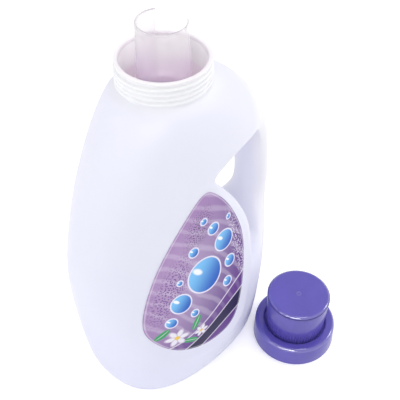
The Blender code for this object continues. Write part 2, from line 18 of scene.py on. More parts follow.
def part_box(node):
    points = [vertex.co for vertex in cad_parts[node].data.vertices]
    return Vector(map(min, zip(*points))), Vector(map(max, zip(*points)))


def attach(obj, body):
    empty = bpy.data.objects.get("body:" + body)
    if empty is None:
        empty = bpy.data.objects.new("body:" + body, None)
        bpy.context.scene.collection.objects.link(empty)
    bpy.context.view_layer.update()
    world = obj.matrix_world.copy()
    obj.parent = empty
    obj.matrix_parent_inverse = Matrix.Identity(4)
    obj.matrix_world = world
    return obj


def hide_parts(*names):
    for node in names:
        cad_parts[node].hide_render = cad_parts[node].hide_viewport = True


bl_info = {
    "name": "Detergent bottle dresser",
    "version": (1, 0, 0),
    "blender": (4, 5, 0),
    "location": "3D View > Sidebar > Bottle",
    "description": "Finishes a laundry detergent bottle, its spout, cap and label",
    "category": "Object",
}

MM = 0.001

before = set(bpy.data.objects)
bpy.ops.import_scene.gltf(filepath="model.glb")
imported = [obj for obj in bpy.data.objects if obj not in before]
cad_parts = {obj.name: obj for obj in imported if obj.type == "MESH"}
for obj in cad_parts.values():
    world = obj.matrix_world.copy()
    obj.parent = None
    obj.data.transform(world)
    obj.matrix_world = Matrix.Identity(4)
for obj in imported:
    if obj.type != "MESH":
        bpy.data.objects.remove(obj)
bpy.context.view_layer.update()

SPOUT_LOW, SPOUT_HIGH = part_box("pour_spout")
CAP_LOW, CAP_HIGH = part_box("dosing_cap")

# The neck's axis and the cap's axis, and the levels that the frame fixes
NECK_AXIS = Vector(((SPOUT_LOW.x + SPOUT_HIGH.x) / 2, (SPOUT_LOW.y + SPOUT_HIGH.y) / 2, 0))
CAP_AXIS = Vector(((CAP_LOW.x + CAP_HIGH.x) / 2, (CAP_LOW.y + CAP_HIGH.y) / 2, 0))
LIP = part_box("bottle")[1].z

# Camera of the photograph
IMAGE_SIZE = 400
SENSOR = 36.0
CAMERA_PIXELS = 677.3              # focal length in pixels of the photograph
CAMERA_EYE = Vector((-212.5, -247.7, 458.9)) * MM
CAMERA_FORWARD = Vector((0.4960, 0.5091, -0.7034))

# Shell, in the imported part's sizes
NECK_HEIGHT = 15.6 * MM
BODY_HEIGHT = LIP - NECK_HEIGHT
BODY_REACH_LEFT = 79.5 * MM
BODY_REACH_HANDLE = 94.0 * MM
BODY_HALF_DEPTH = 59.0 * MM
HEEL_ROUND = 5.2 * MM
FOOT_RING_WIDTH = 5.2 * MM
FOOT_PRESS = 0.8 * MM
PUSH_UP_DEPTH = 4.7 * MM
PUSH_UP_SLOPE = 4.0 * MM
PUSH_UP_MIDDLE = 0.35
FALL_START = 0.2
FALL_RUN = 0.7
HANDLE_WIDTH = 19.9 * MM
HANDLE_HALF_DEPTH = 13.4 * MM
GAP_BOTTOM = 76.5 * MM
GAP_TO_NECK = 46.0 * MM
GAP_TOP = BODY_HEIGHT - GAP_TO_NECK
GAP_EDGE_ROUND = 7.4 * MM
GAP_WALL_DRAW = 1.5 * MM
GAP_ARCH = 3.2 * MM
GAP_TIP_LIFT = 11.6 * MM
GAP_EDGE_CREASE = 0.6
GAP_EDGE_DROP = 7.4 * MM
GAP_EDGE_RISE = 0.45
GAP_EDGE_BAND = 12.6 * MM
NECK_RADIUS = 27.6 * MM
NECK_ROOT_ROUND = 1.7 * MM

# Loft sections, each as (share of body height, share of the driving size)
REACH_LEFT = ((0, .90), (.12, .93), (.30, .98), (.50, 1.0), (.70, .87), (.85, .68), (.95, .51), (1, .42))
REACH_HANDLE = (
    (0, .79), (.12, .80), (.30, .915), (.45, .995), (.56, .98), (.70, .94), (.85, .75), (.95, .54), (1, .38),
)
HALF_DEPTH = ((0, .86), (.12, .96), (.30, 1.0), (.50, .84), (.70, .75), (.85, .72), (.95, .64), (1, .54))
SQUARENESS = ((0, 2.5), (.12, 2.6), (.50, 2.4), (.85, 2.2), (1, 2.0))
HANDLE_FALL = ((0, .12), (.12, .20), (.35, .36), (.60, .45), (.75, .42), (.90, .20), (1, 0))
GAP_EDGE = ((0, .385), (.17, .40), (.33, .41), (.5, .345), (.67, .215), (.83, -.01), (1, .09))
BAR_WIDTH = ((0, 1.2), (.17, 1.05), (.33, 1.05), (.5, 1.04), (.67, 1.02), (.83, 1.1), (1, 1.5))
BAR_DEPTH = ((0, 1.1), (.17, 1.0), (.33, 1.08), (.5, 1.04), (.67, .98), (.83, 1.0), (1, 1.3))
LOWER_SECTIONS = ((0.3, 0.15), (0.65, 0.55))
UPPER_SECTIONS = ((0.36, 0.5), (0.66, 0.15), (0.9, 0))
BAND_FOLLOW = (1.0, 0.5, 0.2)
LABEL_OUTLINE = (
    (.85, .90), (1.07, .82), (.925, .62), (.88, .36), (.82, .03), (.72, -.22), (.52, -.27), (.30, -.18),
    (.17, 0), (.18, .21), (.29, .51), (.58, .76),
)
COLUMNS = 10
GAP_ROWS = 6
EDGE_COLUMN = 5
BAR_COLUMN = 7
BAR_SIDES = 10
NECK_ROWS = 6
RING_GAIN = 3 / (2 + math.cos(math.pi / COLUMNS))
BAR_GAIN = 3 / (2 + math.cos(2 * math.pi / BAR_SIDES))

# Screw thread
THREAD_PITCH = 3.1 * MM
THREAD_ROOT_WIDTH = 2.8 * MM
THREAD_CREST_WIDTH = 0.9 * MM
THREAD_START = 1.65 * MM
THREAD_END = 1.7 * MM
THREAD_RUN_OUT = math.radians(50)

# Pouring spout
SPOUT_WALL = 1.0 * MM
SPOUT_BASE_RADIUS = 16.4 * MM
SPOUT_TOP_RADIUS = 14.8 * MM
FLANGE_RISE = 1.5 * MM             # flange's top above the lip
FLANGE_TOP = LIP + FLANGE_RISE
FLANGE_THICKNESS = 1.2 * MM
FLANGE_RADIUS = (SPOUT_HIGH.x - SPOUT_LOW.x) / 2
FLANGE_CHAMFER = 1.0 * MM
PLUG_INSET = 1.5 * MM              # neck's outside to the plug wall
PLUG_RADIUS = NECK_RADIUS - PLUG_INSET
TRAY_RADIUS = PLUG_RADIUS - SPOUT_WALL
TRAY_DEPTH = 24.2 * MM
TRAY_TOP = FLANGE_TOP - TRAY_DEPTH
TRAY_FALL = 3.2 * MM
SLIT_ANGLE = math.radians(100)
SLIT_DIRECTION = math.radians(13)

# Dosing cap
CAP_HEIGHT = CAP_HIGH.z
CAP_SKIRT_RADIUS = (CAP_HIGH.x - CAP_LOW.x) / 2
CAP_SKIRT_DRAFT = 0.7 * MM
CAP_SKIRT_HEIGHT = 17.2 * MM
CAP_CROWN_WIDTH = 7.3 * MM
CAP_CREST_ROUND = 1.5 * MM
CAP_MOAT_WIDTH = 1.2 * MM
CAP_MOAT_DEPTH = 3.2 * MM
CAP_CUP_FLARE = 1.3 * MM
CAP_WALL = 1.4 * MM
CAP_EDGE_ROUND = 1.8 * MM
CAP_SHOULDER_ROUND = 2.6 * MM
CAP_SEAL_RECESS = 0.5 * MM
CAP_SEAL_GAP = 0.3 * MM            # between the seal ring and the tray's wall
CAP_THREAD_DEPTH = 0.5 * MM
CAP_THREAD_MARGIN = 1.6 * MM       # skirt's edges to the first and last turn of its thread
CAP_THREAD_SLIMNESS = (0.8, 0.6)   # its root and crest, as shares of the neck thread's
CAP_SMALL_ROUND = 0.4 * MM
CAP_SIDES_PER_RIB = 8
GATE_RADIUS = 1.7 * MM
# Profile of the gate's mark from its rim inward, as (share of its radius, depth in millimetres)
GATE_PROFILE = ((1.25, 0), (1.1, 0.08), (0.85, 0.08), (0.7, 0), (0.25, 0.02), (0.12, 0.2), (0, 0.2))

SHARP_ANGLE = math.radians(42)


def length(name, description, default):
    """A size that the sidebar shows in the scene's units."""
    return FloatProperty(name=name, description=description, default=default, unit="LENGTH")


def colour(name, description, *channels):
    """A colour that the sidebar shows as a swatch, in the linear values that the shaders take."""
    return FloatVectorProperty(name=name, description=description, default=channels, subtype="COLOR")


class BottleSizes(PropertyGroup):
    """Sizes that a user would change."""

    levels: IntProperty(
        name="Smoothing", description="Subdivision levels of the shell", default=3, min=1, max=4)
    round_sides: IntProperty(name="Round sides", description="Facets round the spout", default=160, min=32)
    ribs: IntProperty(name="Ribs", description="Grip ribs round the cap's cup", default=64, min=12)
    rib_depth: length("Rib depth", "Depth of the grip ribs", 0.7 * MM)
    rib_height: length("Rib height", "How far the ribs reach up the cup", 15.0 * MM)
    wall: length("Wall", "Wall of the blown shell", 1.2 * MM)
    thread_depth: length("Thread depth", "Height of the neck's thread", 1.1 * MM)
    panel_recess: length("Panel recess", "Depth of the label's panel", 0.5 * MM)
    panel_ridge: length("Panel ridge", "Height of the ridge round the panel", 0.9 * MM)
    label_lift: length("Label lift", "Label above the shell", 0.12 * MM)
    label_thickness: length("Label thickness", "Thickness of the film", 0.12 * MM)
    label_cell: length("Label cell", "Spacing of the label's mesh", 2.5 * MM)


class BottleColours(PropertyGroup):
    """Colours that a user would change."""

    shell: colour("Shell", "Pearl polyethylene", 0.812, 0.817, 0.995)
    # Painted shade: the shell's colour towards the foot
    shell_foot_shade: colour("Shell foot shade", "Pearl polyethylene darkened near the foot as painted shade", 0.745, 0.750, 0.965)
    # Painted light: the shell's colour over the handle
    shell_handle_lit: colour("Shell handle light", "Pearl polyethylene of the handle, lightened as painted light", 0.94, 0.925, 1.0)
    neck: colour("Neck", "Thicker plastic of the neck", 0.925, 0.925, 0.965)
    spout: colour("Spout", "Undyed polyethylene", 0.985, 0.965, 0.98)
    # Painted light: the liquid's colour seen low on the spout's tube
    spout_liquid_light: colour("Spout liquid light", "Undyed polyethylene with painted light of the liquid's colour", 0.83, 0.69, 0.86)
    tube: colour("Tube", "Thin tube of the spout", 0.92, 0.885, 0.91)
    # Painted shade: dark line along the tube's cut rim
    tube_rim_shade: colour("Tube rim shade", "Painted dark line along the cut rim of the spout's tube", 0.60, 0.56, 0.61)
    # Painted light: the liquid's colour on the tray and low on the plug wall
    tray: colour("Tray", "Drain-back tray, mauve as painted light from the liquid below", 0.96, 0.85, 0.93)
    flange: colour("Flange", "Spout's flange over the lip", 0.84, 0.81, 0.85)
    # Painted shadow: thin dark line at the flange's inner edge
    flange_edge_shadow: colour("Flange edge shadow", "Painted shadow line at the inner edge of the flange", 0.74, 0.68, 0.745)
    cap: colour("Cap", "Dyed polypropylene", 0.112, 0.091, 0.438)
    liquid: colour("Liquid", "Detergent", 0.35, 0.12, 0.42)
    lilac: colour("Lilac", "Label's light ground", 0.345, 0.202, 0.440)
    violet: colour("Violet", "Label's dark ground", 0.110, 0.036, 0.230)
    navy: colour("Navy", "Label's darkest wave", 0.018, 0.012, 0.060)
    pale: colour("Pale", "Label's border, petals and lines", 0.80, 0.74, 0.86)
    blue: colour("Blue", "Label's bubbles", 0.030, 0.120, 0.50)
    sky: colour("Sky", "Light side of the bubbles", 0.20, 0.52, 0.86)
    green: colour("Green", "Label's leaves", 0.05, 0.34, 0.13)
    petal: colour("Petal", "Label's blossoms", 0.78, 0.76, 0.84)
    yellow: colour("Yellow", "Hearts of the blossoms", 0.80, 0.55, 0.10)


def sizes():
    return bpy.context.scene.bottle_sizes


def colours():
    return bpy.context.scene.bottle_colours


def smooth_step(value):
    value = min(max(value, 0.0), 1.0)
    return value * value * (3 - 2 * value)


def share_between(value, low, high):
    """Smooth share of the way from low to high, held at its ends."""
    return smooth_step((value - low) / (high - low))


def along(table, share):
    """Read the smooth curve through a table's (share, value) pairs."""
    share = min(max(share, table[0][0]), table[-1][0])
    index = max(i for i, (start, _) in enumerate(table[:-1]) if start <= share)
    slopes = []
    for i in (index, index + 1):
        before = table[max(i - 1, 0)]
        after = table[min(i + 1, len(table) - 1)]
        slopes.append((after[1] - before[1]) / (after[0] - before[0]))
    (low, start), (high, end) = table[index], table[index + 1]
    run = high - low
    t = (share - low) / run
    rise = start + (end - start) * (3 * t**2 - 2 * t**3)
    return rise + run * (t * (1 - t)**2 * slopes[0] - t**2 * (1 - t) * slopes[1])


def closed_curve(points, steps):
    """Points along a smooth closed curve through the given ones."""
    count = len(points)
    curve = []
    for index in range(count):
        a, b, c, d = (points[(index + k) % count] for k in (-1, 0, 1, 2))
        for step in range(steps):
            t = step / steps
            curve.append(b + 0.5 * t * (c - a + t * (2 * a - 5 * b + 4 * c - d + t * (3 * (b - c) + d - a))))
    return curve


def to_mesh(name, bm):
    """Turn a bmesh into a mesh with its faces turned outward, and free it."""
    bmesh.ops.recalc_face_normals(bm, faces=bm.faces)
    mesh = bpy.data.meshes.new(name)
    bm.to_mesh(mesh)
    bm.free()
    return mesh


def add_object(name, data):
    """Make an object of its data and put it in the scene."""
    made = bpy.data.objects.new(name, data)
    bpy.context.scene.collection.objects.link(made)
    return made


def add_piece(name, bm, material, node):
    """Make a smooth piece that rides with the part and stands for the named node."""
    mesh = to_mesh(name, bm)
    mesh.materials.append(material)
    mesh.shade_smooth()
    mesh.set_sharp_from_angle(angle=SHARP_ANGLE)
    piece = add_object(name, mesh)
    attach(piece, "root")
    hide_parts(node)
    return piece


def evaluated_mesh(obj):
    bpy.context.view_layer.update()
    graph = bpy.context.evaluated_depsgraph_get()
    return bpy.data.meshes.new_from_object(obj.evaluated_get(graph), depsgraph=graph)


def apply_modifiers(obj):
    """Replace an object's mesh by its evaluated one."""
    mesh = evaluated_mesh(obj)
    obj.modifiers.clear()
    obj.data = mesh
    mesh.shade_smooth()


def skin(bm, loops):
    """Skin closed loops of vertices one after another, and the last to the first."""
    for loop, following in zip(loops, loops[1:] + loops[:1]):
        for side in range(len(loop)):
            beside = (side + 1) % len(loop)
            corners = tuple(dict.fromkeys((loop[side], loop[beside], following[beside], following[side])))
            if len(corners) > 2:
                bm.faces.new(corners)


def around(radius, angle, height):
    """A point at an angle round an upright axis."""
    return Vector((radius * math.cos(angle), radius * math.sin(angle), height))


def section_reach(height):
    share = height / BODY_HEIGHT
    return -BODY_REACH_LEFT * along(REACH_LEFT, share), BODY_REACH_HANDLE * along(REACH_HANDLE, share)


def half_depth(x, height):
    share = height / BODY_HEIGHT
    left, right = section_reach(height)
    power = along(SQUARENESS, share)
    across = min(max((2 * x - left - right) / (right - left), -1.0), 1.0)
    fall = 1 - along(HANDLE_FALL, share) * smooth_step((across - FALL_START) / FALL_RUN)
    depth = BODY_HALF_DEPTH * along(HALF_DEPTH, share)
    return depth * (1 - abs(across)**power)**(1 / power) * fall


def gap_share(height):
    return (height - GAP_BOTTOM) / (GAP_TOP - GAP_BOTTOM)


def section(height, pull):
    """Front vertices of one section; pull draws the columns to the gap's edges."""
    left, right = section_reach(height)
    power = along(SQUARENESS, height / BODY_HEIGHT)
    across = []
    for column in range(COLUMNS + 1):
        turn = math.cos(math.pi * (1 - column / COLUMNS))
        share = math.copysign(abs(turn)**(2 / power), turn)
        across.append((left + right + (right - left) * share) / 2)
    edge = BODY_REACH_HANDLE * along(GAP_EDGE, gap_share(height))
    bar = right - HANDLE_WIDTH * along(BAR_WIDTH, gap_share(height))
    stretch = 1 + pull * ((edge - left) / (across[EDGE_COLUMN] - left) - 1)
    squeeze = 1 + pull * ((right - bar) / (right - across[BAR_COLUMN]) - 1)
    for column in range(EDGE_COLUMN + 1):
        across[column] = left + (across[column] - left) * stretch
    for column in range(BAR_COLUMN, COLUMNS + 1):
        across[column] = right - (right - across[column]) * squeeze
    shift = pull * (edge - GAP_EDGE_BAND - across[EDGE_COLUMN - 1])
    for step, share in enumerate(BAND_FOLLOW, 1):
        across[EDGE_COLUMN - step] += shift * share
    between = EDGE_COLUMN + 1
    middle = (across[EDGE_COLUMN] + across[BAR_COLUMN]) / 2
    across[between] += pull * (middle - across[between])
    points = [Vector((x, -half_depth(x, height), height)) for x in across]
    points[0].y = points[-1].y = 0
    return points


def bar_ring(height):
    """Half ring of the handle's bar, from its outer line round the front to its inner line."""
    right = section_reach(height)[1]
    half_width = HANDLE_WIDTH * along(BAR_WIDTH, gap_share(height)) / 2
    half_depth_here = HANDLE_HALF_DEPTH * along(BAR_DEPTH, gap_share(height))
    ring = []
    for side in range(BAR_SIDES // 2 + 1):
        angle = math.tau * side / BAR_SIDES
        x = right - half_width + half_width * BAR_GAIN * math.cos(angle)
        y = -half_depth_here * BAR_GAIN * math.sin(angle)
        ring.append(Vector((x, y if 0 < side < BAR_SIDES // 2 else 0, height)))
    return ring


def shrunk(points, share, height):
    middle = (points[0].x + points[-1].x) / 2
    return [Vector((middle + (p.x - middle) * share, p.y * share, height)) for p in points]


def grown(points):
    return shrunk(points, RING_GAIN, points[0].z)


def inset(points, distance, height):
    """The section drawn in towards its middle, laid at a new height."""
    middle = Vector(((points[0].x + points[-1].x) / 2, 0, 0))
    result = []
    for point in points:
        arm = Vector((point.x, point.y, 0)) - middle
        arm *= 1 - distance / arm.length
        result.append(middle + arm + Vector((0, 0, height)))
    return result


def neck_ring(radius, height):
    ring = []
    for column in range(COLUMNS + 1):
        angle = math.pi * (1 - column / COLUMNS)
        y = -radius * math.sin(angle) if 0 < column < COLUMNS else 0
        ring.append(Vector((radius * math.cos(angle), y, height)))
    return ring


def loft_rows():
    """Front halves of all rows, from the middle of the base to the lip, and the gap's first row."""
    foot = grown(section(HEEL_ROUND, 0))
    ring = HEEL_ROUND + FOOT_RING_WIDTH
    rows = [
        shrunk(foot, PUSH_UP_MIDDLE, PUSH_UP_DEPTH),
        inset(foot, ring + PUSH_UP_SLOPE, PUSH_UP_DEPTH),
        inset(foot, ring, -FOOT_PRESS / 2),
        inset(foot, HEEL_ROUND, -FOOT_PRESS),
        inset(foot, HEEL_ROUND / 2, -FOOT_PRESS / 2),
        foot,
    ]
    for share, pull in LOWER_SECTIONS:
        rows.append(grown(section(GAP_BOTTOM * share, pull)))
    first = len(rows)
    for row in range(GAP_ROWS + 1):
        height = GAP_BOTTOM + (GAP_TOP - GAP_BOTTOM) * row / GAP_ROWS
        points = grown(section(height, 1))
        if 0 < row < GAP_ROWS:
            points[BAR_COLUMN:] = reversed(bar_ring(height)[:COLUMNS + 1 - BAR_COLUMN])
        points[EDGE_COLUMN].y += GAP_EDGE_DROP * (1 - GAP_EDGE_RISE * row / GAP_ROWS)
        rows.append(points)
    for share, pull in UPPER_SECTIONS:
        rows.append(grown(section(GAP_TOP + GAP_TO_NECK * share, pull)))
    rows.append(neck_ring((NECK_RADIUS + NECK_ROOT_ROUND) * RING_GAIN, BODY_HEIGHT))
    for row in range(NECK_ROWS + 1):
        height = BODY_HEIGHT + NECK_ROOT_ROUND + (NECK_HEIGHT - NECK_ROOT_ROUND) * row / NECK_ROWS
        rows.append(neck_ring(NECK_RADIUS * RING_GAIN, height))
    return rows, first


def body_cage():
    """Control cage of the shell's outer surface, with the gap bridged from face to face."""
    rows, first = loft_rows()
    last = first + GAP_ROWS
    for column, floor, roof in ((EDGE_COLUMN, 1, -1), (EDGE_COLUMN + 1, -1, 1), (BAR_COLUMN, -1, -1)):
        rows[first][column].z += GAP_ARCH * floor
        rows[last][column].z += GAP_ARCH * roof
    rows[last][EDGE_COLUMN + 1].y += GAP_EDGE_DROP * (1 - GAP_EDGE_RISE)
    rows[last - 1][EDGE_COLUMN].z += GAP_TIP_LIFT
    rows[last - 2][EDGE_COLUMN].z += GAP_TIP_LIFT / 2
    bm = bmesh.new()
    grid = []
    for points in rows:
        front = [bm.verts.new(p) for p in points]
        back = [front[0]]
        back += [bm.verts.new((p.x, -p.y, p.z)) for p in points[1:-1]]
        back.append(front[-1])
        grid.append((front, back))
    for row, ((front, back), (front_above, back_above)) in enumerate(zip(grid, grid[1:])):
        for column in range(COLUMNS):
            if first <= row < last and EDGE_COLUMN <= column < BAR_COLUMN:
                continue
            for low, high in ((front, front_above), (back, back_above)):
                bm.faces.new((low[column], low[column + 1], high[column + 1], high[column]))
    front, back = grid[0]
    bm.faces.new(front + back[-2:0:-1])
    bridge_gap(bm, grid, rows, first, last)
    unused = [vertex for vertex in bm.verts if not vertex.link_faces]
    bmesh.ops.delete(bm, geom=unused, context="VERTS")
    return bm


def bridge_gap(bm, grid, rows, first, last):
    """Walls of the through gap: the body's side, the two ends and the bar's inner side."""
    loop = [(row, EDGE_COLUMN) for row in range(first, last + 1)]
    loop.append((last, EDGE_COLUMN + 1))
    loop += [(row, BAR_COLUMN) for row in range(last, first - 1, -1)]
    loop.append((first, EDGE_COLUMN + 1))
    middle = Vector((sum(rows[r][c].x for r, c in loop), 0, sum(rows[r][c].z for r, c in loop))) / len(loop)
    lines = []
    for row, column in loop:
        point = rows[row][column]
        if column == BAR_COLUMN and first < row < last:
            near, inner = bar_ring(point.z)[-2:]
        else:
            inward = Vector((middle.x - point.x, 0, middle.z - point.z)).normalized() * GAP_WALL_DRAW
            near = Vector((point.x, point.y + GAP_EDGE_ROUND, point.z)) + inward
            inner = Vector((point.x, 0, point.z)) + inward
        through = (near, inner, Vector((near.x, -near.y, near.z)))
        front, back = grid[row]
        lines.append([front[column], *(bm.verts.new(p) for p in through), back[column]])
    for line, following in zip(lines, lines[1:] + lines[:1]):
        for step in range(len(line) - 1):
            bm.faces.new((line[step], line[step + 1], following[step + 1], following[step]))
    crease = bm.edges.layers.float.new("crease_edge")
    upper = [line for line, (row, _) in zip(lines, loop) if row > first + GAP_ROWS / 2]
    for line, following in zip(upper, upper[1:]):
        for side in (0, -1):
            bm.edges.get((line[side], following[side]))[crease] = GAP_EDGE_CREASE


def label_outline(steps):
    """The label's outline on the front, smooth and closed, in the neck's frame."""
    corners = []
    for across, up in LABEL_OUTLINE:
        height = GAP_BOTTOM + (GAP_TOP - GAP_BOTTOM) * up
        left = section_reach(height)[0]
        edge = BODY_REACH_HANDLE * along(GAP_EDGE, up)
        corners.append(Vector((left + (edge - left) * across, 0, height)))
    return closed_curve(corners, steps)


def outline_distance(x, z, outline):
    """Distance to the closed outline, negative inside it."""
    nearest = 1.0
    inside = False
    for a, b in zip(outline, outline[1:] + outline[:1]):
        run_x, run_z = b.x - a.x, b.z - a.z
        share = ((x - a.x) * run_x + (z - a.z) * run_z) / (run_x * run_x + run_z * run_z)
        share = min(max(share, 0.0), 1.0)
        nearest = min(nearest, math.hypot(x - a.x - run_x * share, z - a.z - run_z * share))
        if (a.z > z) != (b.z > z) and x < a.x + run_x * (z - a.z) / run_z:
            inside = not inside
    return -nearest if inside else nearest


PANEL_REACH = 16.0 * MM            # how far the panel's shoulder reaches beyond the label
PANEL_FLAT = 3.5 * MM              # flat band between the label and the shoulder
PANEL_FRONT = -20.0 * MM           # nothing behind this depth is pressed
PANEL_FACING = (0.35, 0.75)        # how far a face must look forward to be pressed, and to be pressed fully
RIDGE_PLACE = 9.0 * MM
RIDGE_WIDTH = 4.0 * MM
RIDGE_SIDE = math.radians(40)      # the ridge is highest this far below the handle's side
RIDGE_SPREAD = (-0.15, 0.45)       # cosines from that side at which it ends, and at which it is full


def shape_panel(bm):
    """Press the label's panel into the front and raise the soft ridge at its right and foot."""
    outline = label_outline(4)
    low_x = min(p.x for p in outline) - PANEL_REACH
    high_x = max(p.x for p in outline) + PANEL_REACH
    low_z = min(p.z for p in outline) - PANEL_REACH
    high_z = max(p.z for p in outline) + PANEL_REACH
    middle_x = sum(p.x for p in outline) / len(outline)
    middle_z = sum(p.z for p in outline) / len(outline)
    bm.normal_update()
    moves = []
    for vertex in bm.verts:
        place = vertex.co
        if place.y > PANEL_FRONT or not (low_x < place.x < high_x and low_z < place.z < high_z):
            continue
        facing = share_between(-vertex.normal.y, *PANEL_FACING)
        if facing <= 0:
            continue
        distance = outline_distance(place.x, place.z, outline)
        recess = 1 - share_between(distance, PANEL_FLAT, (PANEL_FLAT + PANEL_REACH) / 2)
        side = math.atan2(place.z - middle_z, place.x - middle_x)
        share = share_between(math.cos(side + RIDGE_SIDE), *RIDGE_SPREAD)
        ridge = share * math.exp(-((distance - RIDGE_PLACE) / RIDGE_WIDTH)**2)
        moves.append((vertex, facing * (ridge * sizes().panel_ridge - recess * sizes().panel_recess)))
    for vertex, move in moves:
        vertex.co += vertex.normal * move


def thread_rise(angle, height, first, last, pitch, root_width, crest_width):
    """Share of the thread's depth at a place on its cylinder, for a ridge from first to last."""
    turn = (angle % math.tau) / math.tau
    best = 0.0
    lowest = math.floor((height - first) / pitch - turn) - 1
    for lap in range(max(lowest, 0), max(lowest, 0) + 4):
        travel = lap + turn
        centre = first + pitch * travel
        if travel < 0 or centre > last:
            continue
        away = abs(height - centre)
        flank = (root_width / 2 - away) / ((root_width - crest_width) / 2)
        ends = min(travel, (last - first) / pitch - travel) * math.tau / THREAD_RUN_OUT
        best = max(best, smooth_step(flank) * smooth_step(ends))
    return best


def cut_thread(bm):
    """Raise the screw thread on the neck's fine rows."""
    first = BODY_HEIGHT + THREAD_START
    last = LIP - THREAD_END
    for vertex in bm.verts:
        place = vertex.co
        if not BODY_HEIGHT + NECK_ROOT_ROUND / 2 < place.z < LIP:
            continue
        angle = math.atan2(place.y, place.x)
        rise = thread_rise(angle, place.z, first, last, THREAD_PITCH, THREAD_ROOT_WIDTH, THREAD_CREST_WIDTH)
        out = Vector((place.x, place.y, 0)).normalized()
        vertex.co += out * rise * sizes().thread_depth


def make_shell(material):
    """The blown shell: smoothed loft, pressed panel, screw thread, then its wall."""
    guide = add_object("shell_cage", to_mesh("shell_cage", body_cage()))
    smoothing = guide.modifiers.new("smoothing", "SUBSURF")
    smoothing.levels = smoothing.render_levels = sizes().levels
    smooth = evaluated_mesh(guide)
    bpy.data.objects.remove(guide)
    bm = bmesh.new()
    bm.from_mesh(smooth)
    bpy.data.meshes.remove(smooth)
    shape_panel(bm)
    cut_thread(bm)
    for vertex in bm.verts:
        vertex.co.z = max(vertex.co.z, 0)
    bmesh.ops.translate(bm, verts=bm.verts, vec=NECK_AXIS)
    shell = add_piece("bottle_shell", bm, material, "bottle")
    wall = shell.modifiers.new("wall", "SOLIDIFY")
    wall.thickness = sizes().wall
    wall.offset = -1
    wall.use_rim = True
    apply_modifiers(shell)


SPOUT_EDGE = 0.3 * MM              # rounding of the flange's and the tube's outer edges
TUBE_LIP = 0.25 * MM
TRAY_FILLET = 1.2 * MM             # round between the tray's floor and its walls
TRAY_FILLET_MIDDLE = 0.35 * MM
SLIT_SHARES = (-0.5, -0.25, 0, 0.25, 0.5)
SLIT_CLEARANCE = 0.2 * MM          # tray's floor to the foot of the slit
SLIT_OVERSHOOT = 5 * MM            # how far the wedge stands out above the tube


def spout_profile():
    """Closed (radius, height, slope) profile of the spout; slope is one where it follows the tray's fall."""
    top = SPOUT_HIGH.z
    flange_foot = FLANGE_TOP - FLANGE_THICKNESS
    tube_inner_low = SPOUT_BASE_RADIUS - SPOUT_WALL
    tube_inner_high = SPOUT_TOP_RADIUS - SPOUT_WALL
    return (
        (FLANGE_RADIUS - SPOUT_EDGE, FLANGE_TOP, 0),
        (FLANGE_RADIUS, FLANGE_TOP - SPOUT_EDGE, 0),
        (FLANGE_RADIUS, flange_foot, 0),
        (PLUG_RADIUS, flange_foot, 0),
        (PLUG_RADIUS, TRAY_TOP - SPOUT_WALL, 1),
        (tube_inner_low, TRAY_TOP - SPOUT_WALL, 1),
        (tube_inner_high, top - SPOUT_EDGE, 0),
        (tube_inner_high + TUBE_LIP, top, 0),
        (SPOUT_TOP_RADIUS - TUBE_LIP, top, 0),
        (SPOUT_TOP_RADIUS, top - SPOUT_EDGE, 0),
        (SPOUT_BASE_RADIUS, TRAY_TOP + TRAY_FILLET, 1),
        (SPOUT_BASE_RADIUS + TRAY_FILLET_MIDDLE, TRAY_TOP + TRAY_FILLET_MIDDLE, 1),
        (SPOUT_BASE_RADIUS + TRAY_FILLET, TRAY_TOP, 1),
        (TRAY_RADIUS - TRAY_FILLET, TRAY_TOP, 1),
        (TRAY_RADIUS - TRAY_FILLET_MIDDLE, TRAY_TOP + TRAY_FILLET_MIDDLE, 1),
        (TRAY_RADIUS, TRAY_TOP + TRAY_FILLET, 1),
        (TRAY_RADIUS, FLANGE_TOP - FLANGE_CHAMFER, 0),
        (TRAY_RADIUS + FLANGE_CHAMFER / 2, FLANGE_TOP - FLANGE_CHAMFER / 4, 0),
        (TRAY_RADIUS + FLANGE_CHAMFER, FLANGE_TOP, 0),
    )


def make_spout(material):
    """Snap-in fitment: flange, plug wall, sloped drain-back tray and slit spout."""
    sides = sizes().round_sides
    bm = bmesh.new()
    loops = []
    for radius, height, sloped in spout_profile():
        loop = []
        for side in range(sides):
            angle = math.tau * side / sides
            fall = sloped * TRAY_FALL * (1 + math.cos(angle - SLIT_DIRECTION)) / 2
            loop.append(bm.verts.new(NECK_AXIS + around(radius, angle, height - fall)))
        loops.append(loop)
    skin(bm, loops)
    spout = add_piece("drain_back_spout", bm, material, "pour_spout")
    slit = make_slit(TRAY_TOP + SLIT_CLEARANCE, SPOUT_HIGH.z + SLIT_OVERSHOOT)
    opening = spout.modifiers.new("slit", "BOOLEAN")
    opening.operation = "DIFFERENCE"
    opening.solver = "EXACT"
    opening.object = slit
    apply_modifiers(spout)
    spout.data.set_sharp_from_angle(angle=SHARP_ANGLE)
    bpy.data.objects.remove(slit)


def make_slit(bottom, top):
    """Wedge that opens one side of the spout's tube."""
    bm = bmesh.new()
    reach = (SPOUT_BASE_RADIUS + TRAY_RADIUS) / 2 / math.cos(SLIT_ANGLE / 8)
    outline = [around(0, 0, bottom)]
    outline += [around(reach, SLIT_DIRECTION + SLIT_ANGLE * share, bottom) for share in SLIT_SHARES]
    base = bm.faces.new([bm.verts.new(NECK_AXIS + point) for point in outline])
    extruded = bmesh.ops.extrude_face_region(bm, geom=[base])
    raised = [item for item in extruded["geom"] if isinstance(item, bmesh.types.BMVert)]
    bmesh.ops.translate(bm, verts=raised, vec=(0, 0, top - bottom))
    return add_object("spout_slit", to_mesh("spout_slit", bm))


